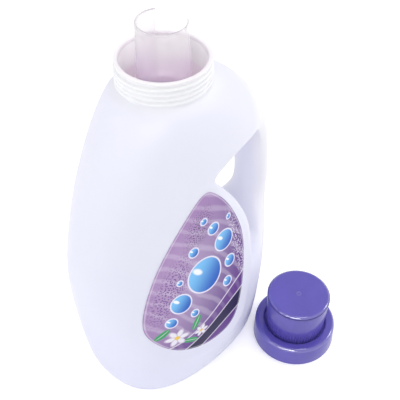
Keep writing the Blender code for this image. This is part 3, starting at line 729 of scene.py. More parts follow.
def arc_corner(before, corner, after, size, steps):
    """Points that round off one corner of a profile with an arc-like curve."""
    before, corner, after = Vector(before), Vector(corner), Vector(after)
    start = corner + (before - corner).normalized() * size
    end = corner + (after - corner).normalized() * size
    points = []
    for step in range(steps + 1):
        t = step / steps
        weight = math.sqrt(0.5) * 2 * t * (1 - t)
        total = (1 - t)**2 + weight + t**2
        points.append(tuple((start * (1 - t)**2 + corner * weight + end * t**2) / total))
    return points


def straight(start, end, steps):
    """Points from start to end, without either."""
    start, end = Vector(start), Vector(end)
    return [tuple(start.lerp(end, step / steps)) for step in range(1, steps)]


def cap_profile():
    """Closed (radius, height, role) profile of the cap; role marks the ribbed and threaded stretches."""
    skirt_top = CAP_SKIRT_RADIUS - CAP_SKIRT_DRAFT
    crown = skirt_top - CAP_CROWN_WIDTH
    cup_base = crown - CAP_MOAT_WIDTH
    cup_top = cup_base + CAP_CUP_FLARE
    moat = CAP_SKIRT_HEIGHT - CAP_MOAT_DEPTH
    web = moat - CAP_WALL
    ceiling = CAP_HEIGHT - CAP_WALL
    crown_ceiling = CAP_SKIRT_HEIGHT - CAP_WALL
    seal = TRAY_RADIUS - CAP_SEAL_GAP
    rim, shoulder, crest = (CAP_SKIRT_RADIUS, 0), (skirt_top, CAP_SKIRT_HEIGHT), (crown, CAP_SKIRT_HEIGHT)
    moat_side, moat_foot, edge = (crown, moat), (cup_base, moat), (cup_top, CAP_HEIGHT)
    inner_edge, inner_foot = (cup_base - CAP_WALL, ceiling), (cup_base - CAP_WALL, web)
    seal_root, seal_inner = (seal - CAP_WALL, web), (seal - CAP_WALL, CAP_SEAL_RECESS)
    seal_outer = (seal, CAP_SEAL_RECESS)
    skirt_wall, skirt_foot = (skirt_top - CAP_WALL, crown_ceiling), (CAP_SKIRT_RADIUS - CAP_WALL, 0)
    stretches = (
        ("plain", arc_corner(skirt_foot, rim, shoulder, CAP_SMALL_ROUND, 3)),
        ("plain", arc_corner(rim, shoulder, crest, CAP_SHOULDER_ROUND, 8)),
        ("plain", straight(shoulder, crest, 2)),
        ("plain", arc_corner(shoulder, crest, moat_side, CAP_CREST_ROUND, 6)),
        ("plain", arc_corner(crest, moat_side, moat_foot, CAP_SMALL_ROUND, 3)),
        ("plain", arc_corner(moat_side, moat_foot, edge, CAP_SMALL_ROUND, 3)),
        ("ribs", straight(moat_foot, edge, 24)),
        ("plain", arc_corner(moat_foot, edge, (0, CAP_HEIGHT), CAP_SHOULDER_ROUND, 8)),
        ("plain", straight(edge, (GATE_RADIUS, CAP_HEIGHT), 3)),
        ("plain", [(GATE_RADIUS * share, CAP_HEIGHT - depth * MM) for share, depth in GATE_PROFILE]),
        ("plain", [(0, ceiling)]),
        ("plain", straight((0, ceiling), inner_edge, 3)),
        ("plain", arc_corner((0, ceiling), inner_edge, inner_foot, CAP_EDGE_ROUND / 2, 4)),
        ("plain", straight(inner_edge, inner_foot, 4)),
        ("plain", [inner_foot, seal_root]),
        ("plain", arc_corner(seal_root, seal_inner, seal_outer, CAP_SMALL_ROUND, 3)),
        ("plain", arc_corner(seal_inner, seal_outer, (seal, web), CAP_SMALL_ROUND, 3)),
        ("plain", [(seal, crown_ceiling), skirt_wall]),
        ("thread", straight(skirt_wall, skirt_foot, 40)),
        ("plain", arc_corner(skirt_wall, skirt_foot, rim, CAP_SMALL_ROUND, 3)),
    )
    return [(radius, height, role) for role, points in stretches for radius, height in points]


def make_cap(material):
    """Dosing cup and skirt in one moulding, with grip ribs outside and its thread inside."""
    ribs = sizes().ribs
    sides = ribs * CAP_SIDES_PER_RIB
    half_height = sizes().rib_height / 2
    rib_middle = CAP_SKIRT_HEIGHT - CAP_MOAT_DEPTH + half_height
    thread_last = CAP_SKIRT_HEIGHT - CAP_WALL - CAP_THREAD_MARGIN
    root_width = THREAD_ROOT_WIDTH * CAP_THREAD_SLIMNESS[0]
    crest_width = THREAD_CREST_WIDTH * CAP_THREAD_SLIMNESS[1]
    bm = bmesh.new()
    loops = []
    for radius, height, role in cap_profile():
        if radius == 0:
            loops.append([bm.verts.new(CAP_AXIS + around(0, 0, height))] * sides)
            continue
        fade = 1 - share_between(height, rib_middle, rib_middle + half_height)
        loop = []
        for side in range(sides):
            angle = math.tau * side / sides
            inward = 0
            if role == "ribs":
                inward = sizes().rib_depth * fade * (0.5 + 0.5 * math.cos(angle * ribs))
            elif role == "thread":
                inward = CAP_THREAD_DEPTH * thread_rise(
                    angle, height, CAP_THREAD_MARGIN, thread_last, THREAD_PITCH, root_width, crest_width)
            loop.append(bm.verts.new(CAP_AXIS + around(radius - inward, angle, height)))
        loops.append(loop)
    skin(bm, loops)
    add_piece("measuring_cap", bm, material, "dosing_cap")


def make_label(shell, material):
    """Film label: cut flat, then laid on the shell's front."""
    bm = bmesh.new()
    cut = label_outline(8)
    outline = [bm.verts.new(NECK_AXIS + point) for point in cut]
    bm.faces.new(outline)
    cell = sizes().label_cell
    for axis in (Vector((1, 0, 0)), Vector((0, 0, 1))):
        places = [vertex.co.dot(axis) / cell for vertex in outline]
        for step in range(math.ceil(min(places)), math.floor(max(places)) + 1):
            everything = bm.verts[:] + bm.edges[:] + bm.faces[:]
            bmesh.ops.bisect_plane(bm, geom=everything, plane_co=axis * step * cell, plane_no=axis)
    whole = bmesh.new()
    whole.from_mesh(shell.data)
    front = BVHTree.FromBMesh(whole)
    whole.free()
    towards_back = Vector((0, 1, 0))
    for vertex in bm.verts:
        hit, normal, _, _ = front.ray_cast(vertex.co - towards_back, towards_back)
        vertex.co = hit + normal * sizes().label_lift
    bm.normal_update()
    for face in bm.faces:
        if face.normal.y > 0:
            face.normal_flip()
    extruded = bmesh.ops.extrude_face_region(bm, geom=bm.faces[:])
    for item in extruded["geom"]:
        if isinstance(item, bmesh.types.BMVert):
            item.co.y -= sizes().label_thickness
    layer = bm.verts.layers.float.new(LABEL_EDGE)
    for vertex in bm.verts:
        vertex[layer] = -outline_distance(vertex.co.x - NECK_AXIS.x, vertex.co.z, cut) / MM
    add_piece("printed_label", bm, material, "front_label")


class Shader:
    """A few short calls for laying out a node tree."""

    def __init__(self, tree):
        self.tree = tree

    def node(self, kind, **settings):
        made = self.tree.nodes.new(kind)
        for key, value in settings.items():
            setattr(made, key, value)
        return made

    def put(self, socket, value):
        """Link a socket into an input, or write a plain value to it."""
        if isinstance(value, bpy.types.NodeSocket):
            self.tree.links.new(value, socket)
        elif value is not None:
            socket.default_value = (*value, 1.0) if socket.type == "RGBA" and len(value) == 3 else value

    def fed(self, kind, values, **settings):
        """A node with the given values in its first inputs."""
        made = self.node(kind, **settings)
        for socket, value in zip(made.inputs, values):
            self.put(socket, value)
        return made

    def feed(self, inputs, **values):
        """Put values in inputs by name; an underscore stands for a space."""
        for key, value in values.items():
            self.put(inputs[key.replace("_", " ")], value)

    def math(self, operation, a, b=None, c=None, clamp=False):
        return self.fed("ShaderNodeMath", (a, b, c), operation=operation, use_clamp=clamp).outputs[0]

    def times(self, a, b):
        return self.math("MULTIPLY", a, b)

    def vector(self, operation, *values):
        """Vector arithmetic; a length comes out as a number."""
        made = self.fed("ShaderNodeVectorMath", values, operation=operation)
        return made.outputs["Value" if operation == "LENGTH" else "Vector"]

    def split(self, vector):
        """The X, Y and Z of a vector."""
        return self.fed("ShaderNodeSeparateXYZ", (vector,)).outputs

    def ramp(self, value, low, high, start=0.0, end=1.0):
        """Smooth change from start to end while value goes from low to high."""
        values = (value, low, high, start, end)
        return self.fed("ShaderNodeMapRange", values, interpolation_type="SMOOTHSTEP").outputs[0]

    def band(self, value, low, full, still, high):
        """One from full to still, falling smoothly to zero at low and at high."""
        return self.times(self.ramp(value, low, full), self.ramp(value, still, high, 1.0, 0.0))

    def mix(self, factor, first, second):
        made = self.node("ShaderNodeMix", data_type="RGBA")
        for index, value in ((0, factor), (6, first), (7, second)):
            self.put(made.inputs[index], value)
        return made.outputs[2]

    def over(self, tone, colour, mask, share=None):
        """Lay a colour over a tone where the mask is set, at a share of its strength."""
        factor = mask if share is None else self.times(mask, share)
        return self.mix(factor, tone, colour)

    def noise(self, vector, scale, detail=2.0, roughness=0.5):
        made = self.node("ShaderNodeTexNoise")
        self.feed(made.inputs, Vector=vector, Scale=scale, Detail=detail, Roughness=roughness)
        return made.outputs["Fac"]

    def group(self, name, **values):
        """Place a shared group and feed it."""
        made = self.node("ShaderNodeGroup", node_tree=groups[name])
        self.feed(made.inputs, **values)
        return made.outputs

    def fade(self, place, low, high):
        """Share of the way up from one height to another."""
        return self.group("fade", Vector=place, Low=low, High=high)["Share"]


NUMBER = "NodeSocketFloat"
VECTOR = "NodeSocketVector"


def new_group(name, inputs, outputs):
    """An empty shader group: its tree, the call helper, and the sockets of its two ends."""
    tree = bpy.data.node_groups.new(name, "ShaderNodeTree")
    for label, kind, default in inputs:
        socket = tree.interface.new_socket(name=label, in_out="INPUT", socket_type=kind)
        if default is not None:
            socket.default_value = default
    for label, kind in outputs:
        tree.interface.new_socket(name=label, in_out="OUTPUT", socket_type=kind)
    shader = Shader(tree)
    return tree, shader, shader.node("NodeGroupInput").outputs, shader.node("NodeGroupOutput").inputs


def moulded_grain_group():
    """Fine orange-peel of a moulded skin, and a slow drift of its tone."""
    tree, shader, given, result = new_group(
        "Moulded grain",
        (("Vector", VECTOR, None), ("Grain size", NUMBER, 0.001), ("Drift size", NUMBER, 0.04)),
        (("Height", NUMBER), ("Drift", NUMBER)),
    )
    fine = shader.math("DIVIDE", 1.0, given["Grain size"])
    slow = shader.math("DIVIDE", 1.0, given["Drift size"])
    height = shader.noise(given["Vector"], fine, roughness=0.55)
    shader.feed(result, Height=height, Drift=shader.ramp(shader.noise(given["Vector"], slow), 0.3, 0.7))
    return tree


STREAK_TURN = (0.4, 0.9, 0.3)      # leans the rubbing streaks out of the object's axes
STREAK_STRETCH = (1.0, 1.0, 0.12)
PATCH_SCALE = 22.0                 # patches a metre in which streaks lie


def handling_group():
    """Faint rubbing marks: short streaks that dull the skin here and there."""
    tree, shader, given, result = new_group(
        "Handling marks",
        (("Vector", VECTOR, None), ("Streak size", NUMBER, 0.003), ("Amount", NUMBER, 0.5)),
        (("Mask", NUMBER),),
    )
    stretch = shader.node("ShaderNodeMapping")
    shader.feed(stretch.inputs, Vector=given["Vector"], Rotation=STREAK_TURN, Scale=STREAK_STRETCH)
    fine = shader.math("DIVIDE", 1.0, given["Streak size"])
    streaks = shader.noise(stretch.outputs["Vector"], fine, detail=4.0, roughness=0.6)
    patches = shader.noise(given["Vector"], PATCH_SCALE)
    mask = shader.times(shader.ramp(streaks, 0.55, 0.75), shader.ramp(patches, 0.45, 0.7))
    shader.put(result["Mask"], shader.math("MULTIPLY", mask, given["Amount"], clamp=True))
    return tree


def height_fade_group():
    """Zero below one height and one above another, with a smooth change between."""
    tree, shader, given, result = new_group(
        "Height fade",
        (("Vector", VECTOR, None), ("Low", NUMBER, 0.0), ("High", NUMBER, 1.0)),
        (("Share", NUMBER),),
    )
    height = shader.split(given["Vector"])["Z"]
    shader.put(result["Share"], shader.ramp(height, given["Low"], given["High"]))
    return tree


def ellipse_group():
    """Print mask of an ellipse: fill, a ring at its edge, and the place in it from -1 to 1."""
    tree, shader, given, result = new_group(
        "Printed ellipse",
        (("Vector", VECTOR, None), ("Centre", VECTOR, None), ("Half width", NUMBER, 10.0),
         ("Half height", NUMBER, 10.0), ("Turn", NUMBER, 0.0), ("Ring", NUMBER, 0.1), ("Blur", NUMBER, 0.03)),
        (("Fill", NUMBER), ("Ring", NUMBER), ("Local", VECTOR)),
    )
    turned = shader.node("ShaderNodeVectorRotate", rotation_type="Y_AXIS")
    moved = shader.vector("SUBTRACT", given["Vector"], given["Centre"])
    shader.feed(turned.inputs, Vector=moved, Angle=given["Turn"])
    x, _, z = shader.split(turned.outputs[0])
    across = shader.math("DIVIDE", x, given["Half width"])
    up = shader.math("DIVIDE", z, given["Half height"])
    squares = shader.math("ADD", shader.times(across, across), shader.times(up, up))
    reach = shader.math("SQRT", squares)

    def inside(edge):
        """One within an edge and zero beyond it, over the blur on both sides."""
        low = shader.math("SUBTRACT", edge, given["Blur"])
        return shader.ramp(reach, low, shader.math("ADD", edge, given["Blur"]), 1.0, 0.0)

    fill = inside(1.0)
    core = inside(shader.math("SUBTRACT", 1.0, given["Ring"]))
    ring = shader.math("SUBTRACT", fill, core, clamp=True)
    local = shader.fed("ShaderNodeCombineXYZ", (across, None, up)).outputs[0]
    shader.feed(result, Fill=fill, Ring=ring, Local=local)
    return tree


def wave_group():
    """Print mask of everything below a waved line, and the depth below it."""
    tree, shader, given, result = new_group(
        "Printed wave",
        (("Vector", VECTOR, None), ("Level", NUMBER, 0.0), ("Slope", NUMBER, 0.0), ("Swing", NUMBER, 3.0),
         ("Length", NUMBER, 60.0), ("Phase", NUMBER, 0.0), ("Blur", NUMBER, 0.25)),
        (("Below", NUMBER), ("Depth", NUMBER)),
    )
    x, _, z = shader.split(given["Vector"])
    turns = shader.math("DIVIDE", x, given["Length"])
    angle = shader.math("MULTIPLY_ADD", turns, math.tau, given["Phase"])
    swing = shader.times(shader.math("SINE", angle), given["Swing"])
    line = shader.math("MULTIPLY_ADD", x, given["Slope"], given["Level"])
    depth = shader.math("SUBTRACT", shader.math("ADD", line, swing), z)
    below = shader.ramp(depth, shader.times(given["Blur"], -1.0), given["Blur"])
    shader.feed(result, Below=below, Depth=depth)
    return tree


GROUP_MAKERS = {
    "grain": moulded_grain_group,
    "handling": handling_group,
    "fade": height_fade_group,
    "ellipse": ellipse_group,
    "wave": wave_group,
}
groups = {}


def new_material(name):
    """A material, the call helper, its Principled shader's inputs and the object's own coordinates."""
    material = bpy.data.materials.new(name)
    material.use_nodes = True
    shader = Shader(material.node_tree)
    surface = material.node_tree.nodes["Principled BSDF"].inputs
    return material, shader, surface, shader.node("ShaderNodeTexCoord").outputs["Object"]


def axis_distance(shader, place, axis):
    """Distance of a place from an upright axis."""
    arm = shader.vector("SUBTRACT", place, tuple(axis))
    return shader.vector("LENGTH", shader.vector("MULTIPLY", arm, (1.0, 1.0, 0.0)))


def vary_roughness(shader, surface, mask, base, gain):
    """Roughness that rises from its base by the mask."""
    shader.put(surface["Roughness"], shader.math("MULTIPLY_ADD", mask, gain, base))


def add_bump(shader, surface, height, strength, distance):
    bump = shader.node("ShaderNodeBump")
    shader.feed(bump.inputs, Strength=strength, Distance=distance, Height=height)
    shader.put(surface["Normal"], bump.outputs["Normal"])


def lightened(colour, share, gain):
    """A share of a colour with the same light added to each channel."""
    return tuple(channel * share + gain for channel in colour)


SEAM_WIDTH = 0.6 * MM              # parting line of the blow mould, on the bottle's middle plane
SEAM_RISE = 0.7
SHELL_GRAIN_RISE = 0.1
SHELL_DRIFT = (0.86, 0.86, 0.98)
# Where one tone of the shell turns into the next: painted shade towards the foot, painted light on the
# handle, and the paler neck
FOOT_SHADE_HEIGHTS = (20 * MM, 200 * MM)
NECK_HEIGHTS = (BODY_HEIGHT - 6 * MM, BODY_HEIGHT + 6 * MM)
HANDLE_LIGHT_PLACES = (NECK_AXIS.x + 45 * MM, NECK_AXIS.x + 72 * MM)
HANDLE_LIGHT_HEIGHTS = (50 * MM, 80 * MM)


def shell_material():
    """Opaque pearl polyethylene: satin skin, a lavender cast, painted shade darkening it towards the foot,
    painted light brightening the handle, paler at the thick neck.
    """
    material, shader, surface, place = new_material("Pearl polyethylene")
    grain = shader.group("grain", Vector=place, Grain_size=0.9 * MM, Drift_size=60 * MM)
    marks = shader.group("handling", Vector=place, Streak_size=2.2 * MM, Amount=0.6)
    x, y, z = shader.split(place)
    # Painted light: the pearl skin over the handle is lightened
    handle_light_mask = shader.times(shader.ramp(x, *HANDLE_LIGHT_PLACES), shader.ramp(z, *HANDLE_LIGHT_HEIGHTS))
    # Painted shade: the shell darkens towards the foot
    tone = shader.mix(shader.fade(place, *FOOT_SHADE_HEIGHTS), colours().shell_foot_shade, colours().shell)
    tone = shader.over(tone, colours().shell_handle_lit, handle_light_mask)
    tone = shader.over(tone, colours().neck, shader.fade(place, *NECK_HEIGHTS))
    tone = shader.over(tone, SHELL_DRIFT, grain["Drift"], 0.10)
    vary_roughness(shader, surface, marks["Mask"], base=0.42, gain=0.16)
    shader.feed(
        surface, Base_Color=tone, Specular_IOR_Level=0.25, Subsurface_Weight=0.5,
        Subsurface_Radius=(1.0, 0.95, 1.0), Subsurface_Scale=4 * MM)
    away = shader.math("ABSOLUTE", shader.math("SUBTRACT", y, NECK_AXIS.y))
    seam = shader.ramp(away, SEAM_WIDTH / 4, SEAM_WIDTH / 2, SEAM_RISE, 0.0)
    height = shader.math("ADD", shader.times(grain["Height"], SHELL_GRAIN_RISE), seam)
    add_bump(shader, surface, height, strength=0.3, distance=0.5 * MM)
    return material


# How much of what lies behind the tube it covers: low down, at its end, edge-on and at its cut rim
TUBE_DENSITY_LOW = 0.48
TUBE_DENSITY_TOP = 0.26
TUBE_DENSITY_EDGE_ON = 0.7
TUBE_DENSITY_RIM = 0.65
EDGE_ON_FACING = (0.55, 0.95)
SPOUT_DRIFT = (0.95, 0.93, 0.95)
# Where one tone of the spout turns into the next: painted light of the liquid's colour, the painted shadow
# line at the flange's edge and the painted dark line at the rim
TUBE_REACHES = (SPOUT_BASE_RADIUS + 0.5 * MM, SPOUT_BASE_RADIUS + 3 * MM)
TUBE_LIQUID_LIGHT_HEIGHTS = (FLANGE_TOP - 5 * MM, FLANGE_TOP + 16 * MM)
WALL_LIQUID_LIGHT_HEIGHTS = (FLANGE_TOP - 18.5 * MM, FLANGE_TOP - 14.5 * MM)
FLANGE_HEIGHTS = (FLANGE_TOP - 2 * MM, FLANGE_TOP - 0.8 * MM)
FLANGE_SHADOW_REACHES = (TRAY_RADIUS + 0.7 * MM, TRAY_RADIUS + 1.1 * MM)
RIM_HEIGHTS = (SPOUT_HIGH.z - 1.2 * MM, SPOUT_HIGH.z - 0.5 * MM)


def spout_material():
    """Milky undyed polyethylene with painted light of the liquid's violet low on the tube, the tray and the
    plug wall, a painted shadow line at the flange's inner edge and a painted dark line along the tube's rim.
    """
    material, shader, surface, place = new_material("Natural polyethylene")
    grain = shader.group("grain", Vector=place, Grain_size=1.2 * MM, Drift_size=18 * MM)
    reach = axis_distance(shader, place, NECK_AXIS)
    beyond_tube = shader.ramp(reach, *TUBE_REACHES)
    on_flange = shader.times(shader.fade(place, *FLANGE_HEIGHTS), beyond_tube)
    # Mask of the painted shadow line at the flange's inner edge
    edge_shadow_mask = shader.ramp(reach, *FLANGE_SHADOW_REACHES, 1.0, 0.0)
    at_rim = shader.fade(place, *RIM_HEIGHTS)
    # Painted light: the tube takes the liquid's violet low down
    tube = shader.mix(shader.fade(place, *TUBE_LIQUID_LIGHT_HEIGHTS), colours().spout_liquid_light, colours().tube)
    # Painted light: the tray and the plug wall below these heights take the liquid's mauve
    wall = shader.mix(shader.fade(place, *WALL_LIQUID_LIGHT_HEIGHTS), colours().tray, colours().spout)
    tone = shader.over(tube, wall, beyond_tube)
    tone = shader.over(tone, colours().flange, on_flange)
    # Painted shadow line at the flange's inner edge
    tone = shader.over(tone, colours().flange_edge_shadow, on_flange, edge_shadow_mask)
    # Painted shade: dark line along the tube's cut rim
    tone = shader.over(tone, colours().tube_rim_shade, at_rim)
    tone = shader.over(tone, SPOUT_DRIFT, grain["Drift"], 0.08)
    vary_roughness(shader, surface, grain["Drift"], base=0.34, gain=0.08)
    facing = shader.node("ShaderNodeLayerWeight")
    shader.feed(facing.inputs, Blend=0.5)
    edge_on = shader.ramp(facing.outputs["Facing"], *EDGE_ON_FACING)
    upward = shader.fade(place, TRAY_TOP, SPOUT_HIGH.z)
    dense = shader.math("MULTIPLY_ADD", upward, TUBE_DENSITY_TOP - TUBE_DENSITY_LOW, TUBE_DENSITY_LOW)
    dense = shader.math("MAXIMUM", dense, shader.times(edge_on, TUBE_DENSITY_EDGE_ON))
    dense = shader.math("MAXIMUM", dense, shader.times(at_rim, TUBE_DENSITY_RIM))
    dense = shader.math("MAXIMUM", dense, beyond_tube)
    shader.feed(
        surface, Base_Color=tone, Alpha=dense, Sheen_Weight=0.8, Sheen_Roughness=0.25,
        Subsurface_Weight=0.15, Subsurface_Radius=(1.0, 0.9, 1.0), Subsurface_Scale=5 * MM)
    add_bump(shader, surface, grain["Height"], strength=0.08, distance=0.2 * MM)
    return material


# Radii between which the gate's mark rises and falls, and how far up a round edge must face to shine
GATE_RING = (0.8 * MM, 1.3 * MM, 1.7 * MM, 2.4 * MM)
EDGE_FACING = (0.1, 0.35, 0.88, 0.98)


def cap_material():
    """Dyed polypropylene: satin violet, slightly duller where fingers rub it, glossier on its round edges."""
    material, shader, surface, place = new_material("Violet polypropylene")
    grain = shader.group("grain", Vector=place, Grain_size=0.7 * MM, Drift_size=24 * MM)
    marks = shader.group("handling", Vector=place, Streak_size=1.4 * MM, Amount=0.8)
    deep = lightened(colours().cap, 0.90, 0.0)
    pale = lightened(colours().cap, 0.7, 0.18)
    tone = shader.mix(grain["Drift"], deep, colours().cap)
    tone = shader.over(tone, pale, marks["Mask"], 0.10)
    gate = shader.band(axis_distance(shader, place, CAP_AXIS), *GATE_RING)
    tone = shader.over(tone, pale, gate, 0.25)
    vary_roughness(shader, surface, marks["Mask"], base=0.28, gain=0.16)
    normal = shader.node("ShaderNodeNewGeometry").outputs["Normal"]
    edge = shader.band(shader.split(normal)["Z"], *EDGE_FACING)
    gloss = shader.math("MULTIPLY_ADD", edge, 0.7, 0.3)
    shader.feed(
        surface, Base_Color=tone, Coat_Weight=gloss, Specular_IOR_Level=0.05, Coat_IOR=2.0,
        Coat_Roughness=0.08, Subsurface_Weight=0.08, Subsurface_Radius=(0.5, 0.4, 1.0),
        Subsurface_Scale=2 * MM)
    add_bump(shader, surface, grain["Height"], strength=0.10, distance=0.2 * MM)
    return material


def liquid_material():
    """Clear violet detergent with a faint cloudiness."""
    material, shader, surface, place = new_material("Violet detergent")
    cloud = shader.noise(place, 40.0)
    light = lightened(colours().liquid, 0.7, 0.2)
    tone = shader.mix(shader.ramp(cloud, 0.35, 0.75), colours().liquid, light)
    vary_roughness(shader, surface, cloud, base=0.04, gain=0.05)
    shader.feed(
        surface, Base_Color=tone, Subsurface_Weight=0.4, Subsurface_Radius=(1.0, 0.5, 1.0),
        Subsurface_Scale=8 * MM)
    return material


# The label's design, in millimetres from the neck's axis and the floor, and turns in degrees
GLOW = (-22, 112, 26, 48, -28)                     # x, z, half width, half height, turn
SWIRL_MIDDLE = (-95.0, 0.0, 40.0)
SWIRL_SCALE = 0.034
GROUND_FALL = (0.9, -0.55)                         # the ground darkens along this slant
GROUND_DEEP = (-112.0, -52.0)
SPECKLES = (                                       # dots a millimetre, dot size, patch, colour
    (0.62, 0.36, (-40, 112, 9, 26, -32), "violet"),
    (0.55, 0.34, (18, 112, 5, 36, 8), "pale"),
    (0.80, 0.34, (-14, 152, 8, 14, -30), "navy"),
)
RIBBON = ((83.0, 3.0, 0.9), (72.0, 3.4, 1.3), (58.0, 3.6, 1.7))    # height, swing, phase of each edge
RIBBON_SLOPE = 0.42
RIBBON_LENGTH = 92.0
RIBBON_LINE = (-0.5, 0.0, 0.7, 1.2)
BUBBLES = (                                        # x, z, radius
    (-14.0, 112.0, 14.0), (5.0, 130.0, 8.5), (-35.0, 99.0, 8.0), (-3.0, 145.0, 5.0), (8.0, 110.0, 5.0),
    (-44.0, 86.0, 4.5), (-20.0, 135.0, 4.2), (-10.0, 155.0, 3.0), (3.0, 95.0, 4.2), (-27.0, 86.0, 3.4),
    (11.0, 146.0, 2.4), (-33.0, 116.0, 2.6),
)
SHINE_COLOUR = (0.95, 0.95, 0.97)
SHINE_PLACE = (-0.38, 0.42)        # these two as shares of the bubble's radius
SHINE_SIZE = (0.30, 0.15)
SHINE_TURN = -45
LEAVES = ((-51.0, 77.0, 40.0), (-33.0, 62.0, -25.0), (-27.0, 77.0, 60.0))      # x, z, turn
LEAF_SIZE = (6.5, 2.4)
VEIN_SIZE = (6.0, 0.3)
BLOSSOMS = ((-42.0, 70.0, 7.2), (-24.0, 66.5, 4.6))                              # x, z, size
PETALS = 6
PETAL_PLACE = 0.62                 # these three as shares of the blossom's size
PETAL_SIZE = (0.58, 0.31)
HEART_SIZE = 0.26
BORDER_LINE = (0.3, 0.6, 1.1, 1.5)
LABEL_EDGE = "edge_distance"       # millimetres from the label's cut edge, kept on its vertices


def label_material():
    """Printed film: lilac ground, bubbles, blossoms and ribbon, all in millimetres on the front."""
    material, shader, surface, place = new_material("Printed film")
    moved = shader.vector("SUBTRACT", place, tuple(NECK_AXIS))
    spot = shader.vector("SCALE", moved, None, None, 1 / MM)
    tone = label_ground(shader, spot)
    tone = label_speckles(shader, spot, tone)
    tone = label_ribbon(shader, spot, tone)
    tone = label_bubbles(shader, spot, tone)
    tone = label_blossoms(shader, spot, tone)
    edge = shader.node("ShaderNodeAttribute", attribute_name=LABEL_EDGE).outputs["Fac"]
    tone = shader.over(tone, colours().pale, shader.band(edge, *BORDER_LINE), 0.35)
    vary_roughness(shader, surface, shader.noise(place, 60.0), base=0.34, gain=0.10)
    shader.feed(surface, Base_Color=tone, Specular_IOR_Level=0.15)
    return material


def printed(shader, spot, x, z, half_width, half_height, turn=0.0, ring=0.1, blur=0.03):
    """One printed ellipse, its centre and half sizes in millimetres."""
    return shader.group(
        "ellipse", Vector=spot, Centre=(x, 0, z), Half_width=half_width, Half_height=half_height,
        Turn=math.radians(turn), Ring=ring, Blur=blur)


def label_ground(shader, spot):
    """Lilac at the tip and the plain side, violet towards the foot, with a glow and light streaks."""
    x, _, z = shader.split(spot)
    across, up = GROUND_FALL
    deep = shader.ramp(shader.math("MULTIPLY_ADD", x, across, shader.times(z, up)), *GROUND_DEEP)
    tone = shader.mix(deep, colours().lilac, colours().violet)
    tone = shader.over(tone, colours().pale, printed(shader, spot, *GLOW, blur=0.95)["Fill"], 0.27)
    swirl = shader.node("ShaderNodeTexWave", wave_type="RINGS", rings_direction="Y")
    from_middle = shader.vector("SUBTRACT", spot, SWIRL_MIDDLE)
    shader.feed(
        swirl.inputs, Vector=from_middle, Scale=SWIRL_SCALE, Distortion=5.0, Detail=3.0, Detail_Scale=0.7)
    return shader.over(tone, colours().pale, shader.ramp(swirl.outputs["Fac"], 0.5, 1.0), 0.21)


def label_speckles(shader, spot, tone):
    """Fine printed dots, dark on the plain side and pale towards the handle."""
    x, _, z = shader.split(spot)
    flat = shader.fed("ShaderNodeCombineXYZ", (x, z)).outputs[0]
    for scale, size, patch, name in SPECKLES:
        dots = shader.node("ShaderNodeTexVoronoi", voronoi_dimensions="2D", feature="F1")
        shader.feed(dots.inputs, Vector=flat, Scale=scale)
        dot = shader.ramp(dots.outputs["Distance"], size - 0.1, size, 1.0, 0.0)
        mask = shader.times(dot, printed(shader, spot, *patch, blur=0.6)["Fill"])
        tone = shader.over(tone, getattr(colours(), name), mask, 0.75)
    return tone


def label_ribbon(shader, spot, tone):
    """Waved bands across the foot, violet, navy and violet, with a pale line along each edge."""
    edges = []
    for level, swing, phase in RIBBON:
        edges.append(shader.group(
            "wave", Vector=spot, Level=level, Slope=RIBBON_SLOPE, Swing=swing, Length=RIBBON_LENGTH,
            Phase=phase))
    upper, middle, lower = edges
    tone = shader.over(tone, colours().violet, upper["Below"], 0.55)
    tone = shader.over(tone, colours().navy, middle["Below"])
    tone = shader.over(tone, colours().violet, lower["Below"])
    for edge in edges:
        tone = shader.over(tone, colours().pale, shader.band(edge["Depth"], *RIBBON_LINE), 0.8)
    return tone


def label_bubbles(shader, spot, tone):
    """Soap bubbles: blue discs with a pale rim, a light side and a small shine."""
    for x, z, radius in BUBBLES:
        ring = min(0.8 / radius, 0.3) + 0.02
        disc = printed(shader, spot, x, z, radius, radius, ring=ring, blur=0.3 / radius)
        across, _, up = shader.split(disc["Local"])
        lit = shader.ramp(shader.math("SUBTRACT", up, across), -1.3, 1.2)
        tone = shader.over(tone, shader.mix(lit, colours().blue, colours().sky), disc["Fill"])
        tone = shader.over(tone, colours().pale, disc["Ring"])
        right, rise = (radius * share for share in SHINE_PLACE)
        size = (radius * share for share in SHINE_SIZE)
        shine = printed(shader, spot, x + right, z + rise, *size, turn=SHINE_TURN, blur=0.35)
        tone = shader.over(tone, SHINE_COLOUR, shine["Fill"], 0.9)
    return tone


def label_blossoms(shader, spot, tone):
    """Two open blossoms with green leaves, at the plain side of the foot."""
    for x, z, turn in LEAVES:
        leaf = printed(shader, spot, x, z, *LEAF_SIZE, turn=turn, blur=0.08)
        tone = shader.over(tone, colours().green, leaf["Fill"])
        vein = printed(shader, spot, x, z, *VEIN_SIZE, turn=turn, blur=0.3)
        tone = shader.over(tone, colours().pale, vein["Fill"], 0.6)
    for x, z, size in BLOSSOMS:
        for petal in range(PETALS):
            turn = 360 * petal / PETALS
            arm = around(size * PETAL_PLACE, math.radians(turn), 0)
            halves = (size * share for share in PETAL_SIZE)
            leaf = printed(shader, spot, x + arm.x, z + arm.y, *halves, turn=turn, ring=0.25, blur=0.12)
            tone = shader.over(tone, colours().petal, leaf["Fill"])
            tone = shader.over(tone, colours().lilac, leaf["Ring"], 0.5)
        radius = size * HEART_SIZE
        heart = printed(shader, spot, x, z, radius, radius, blur=0.15)
        tone = shader.over(tone, colours().yellow, heart["Fill"])
    return tone


def shown_rays(shader):
    """One for what the camera, a gloss or a glass sees, zero for the light on the object."""
    path = shader.node("ShaderNodeLightPath").outputs
    seen = shader.math("ADD", path["Is Camera Ray"], path["Is Glossy Ray"])
    return shader.math("ADD", seen, path["Is Transmission Ray"], clamp=True)


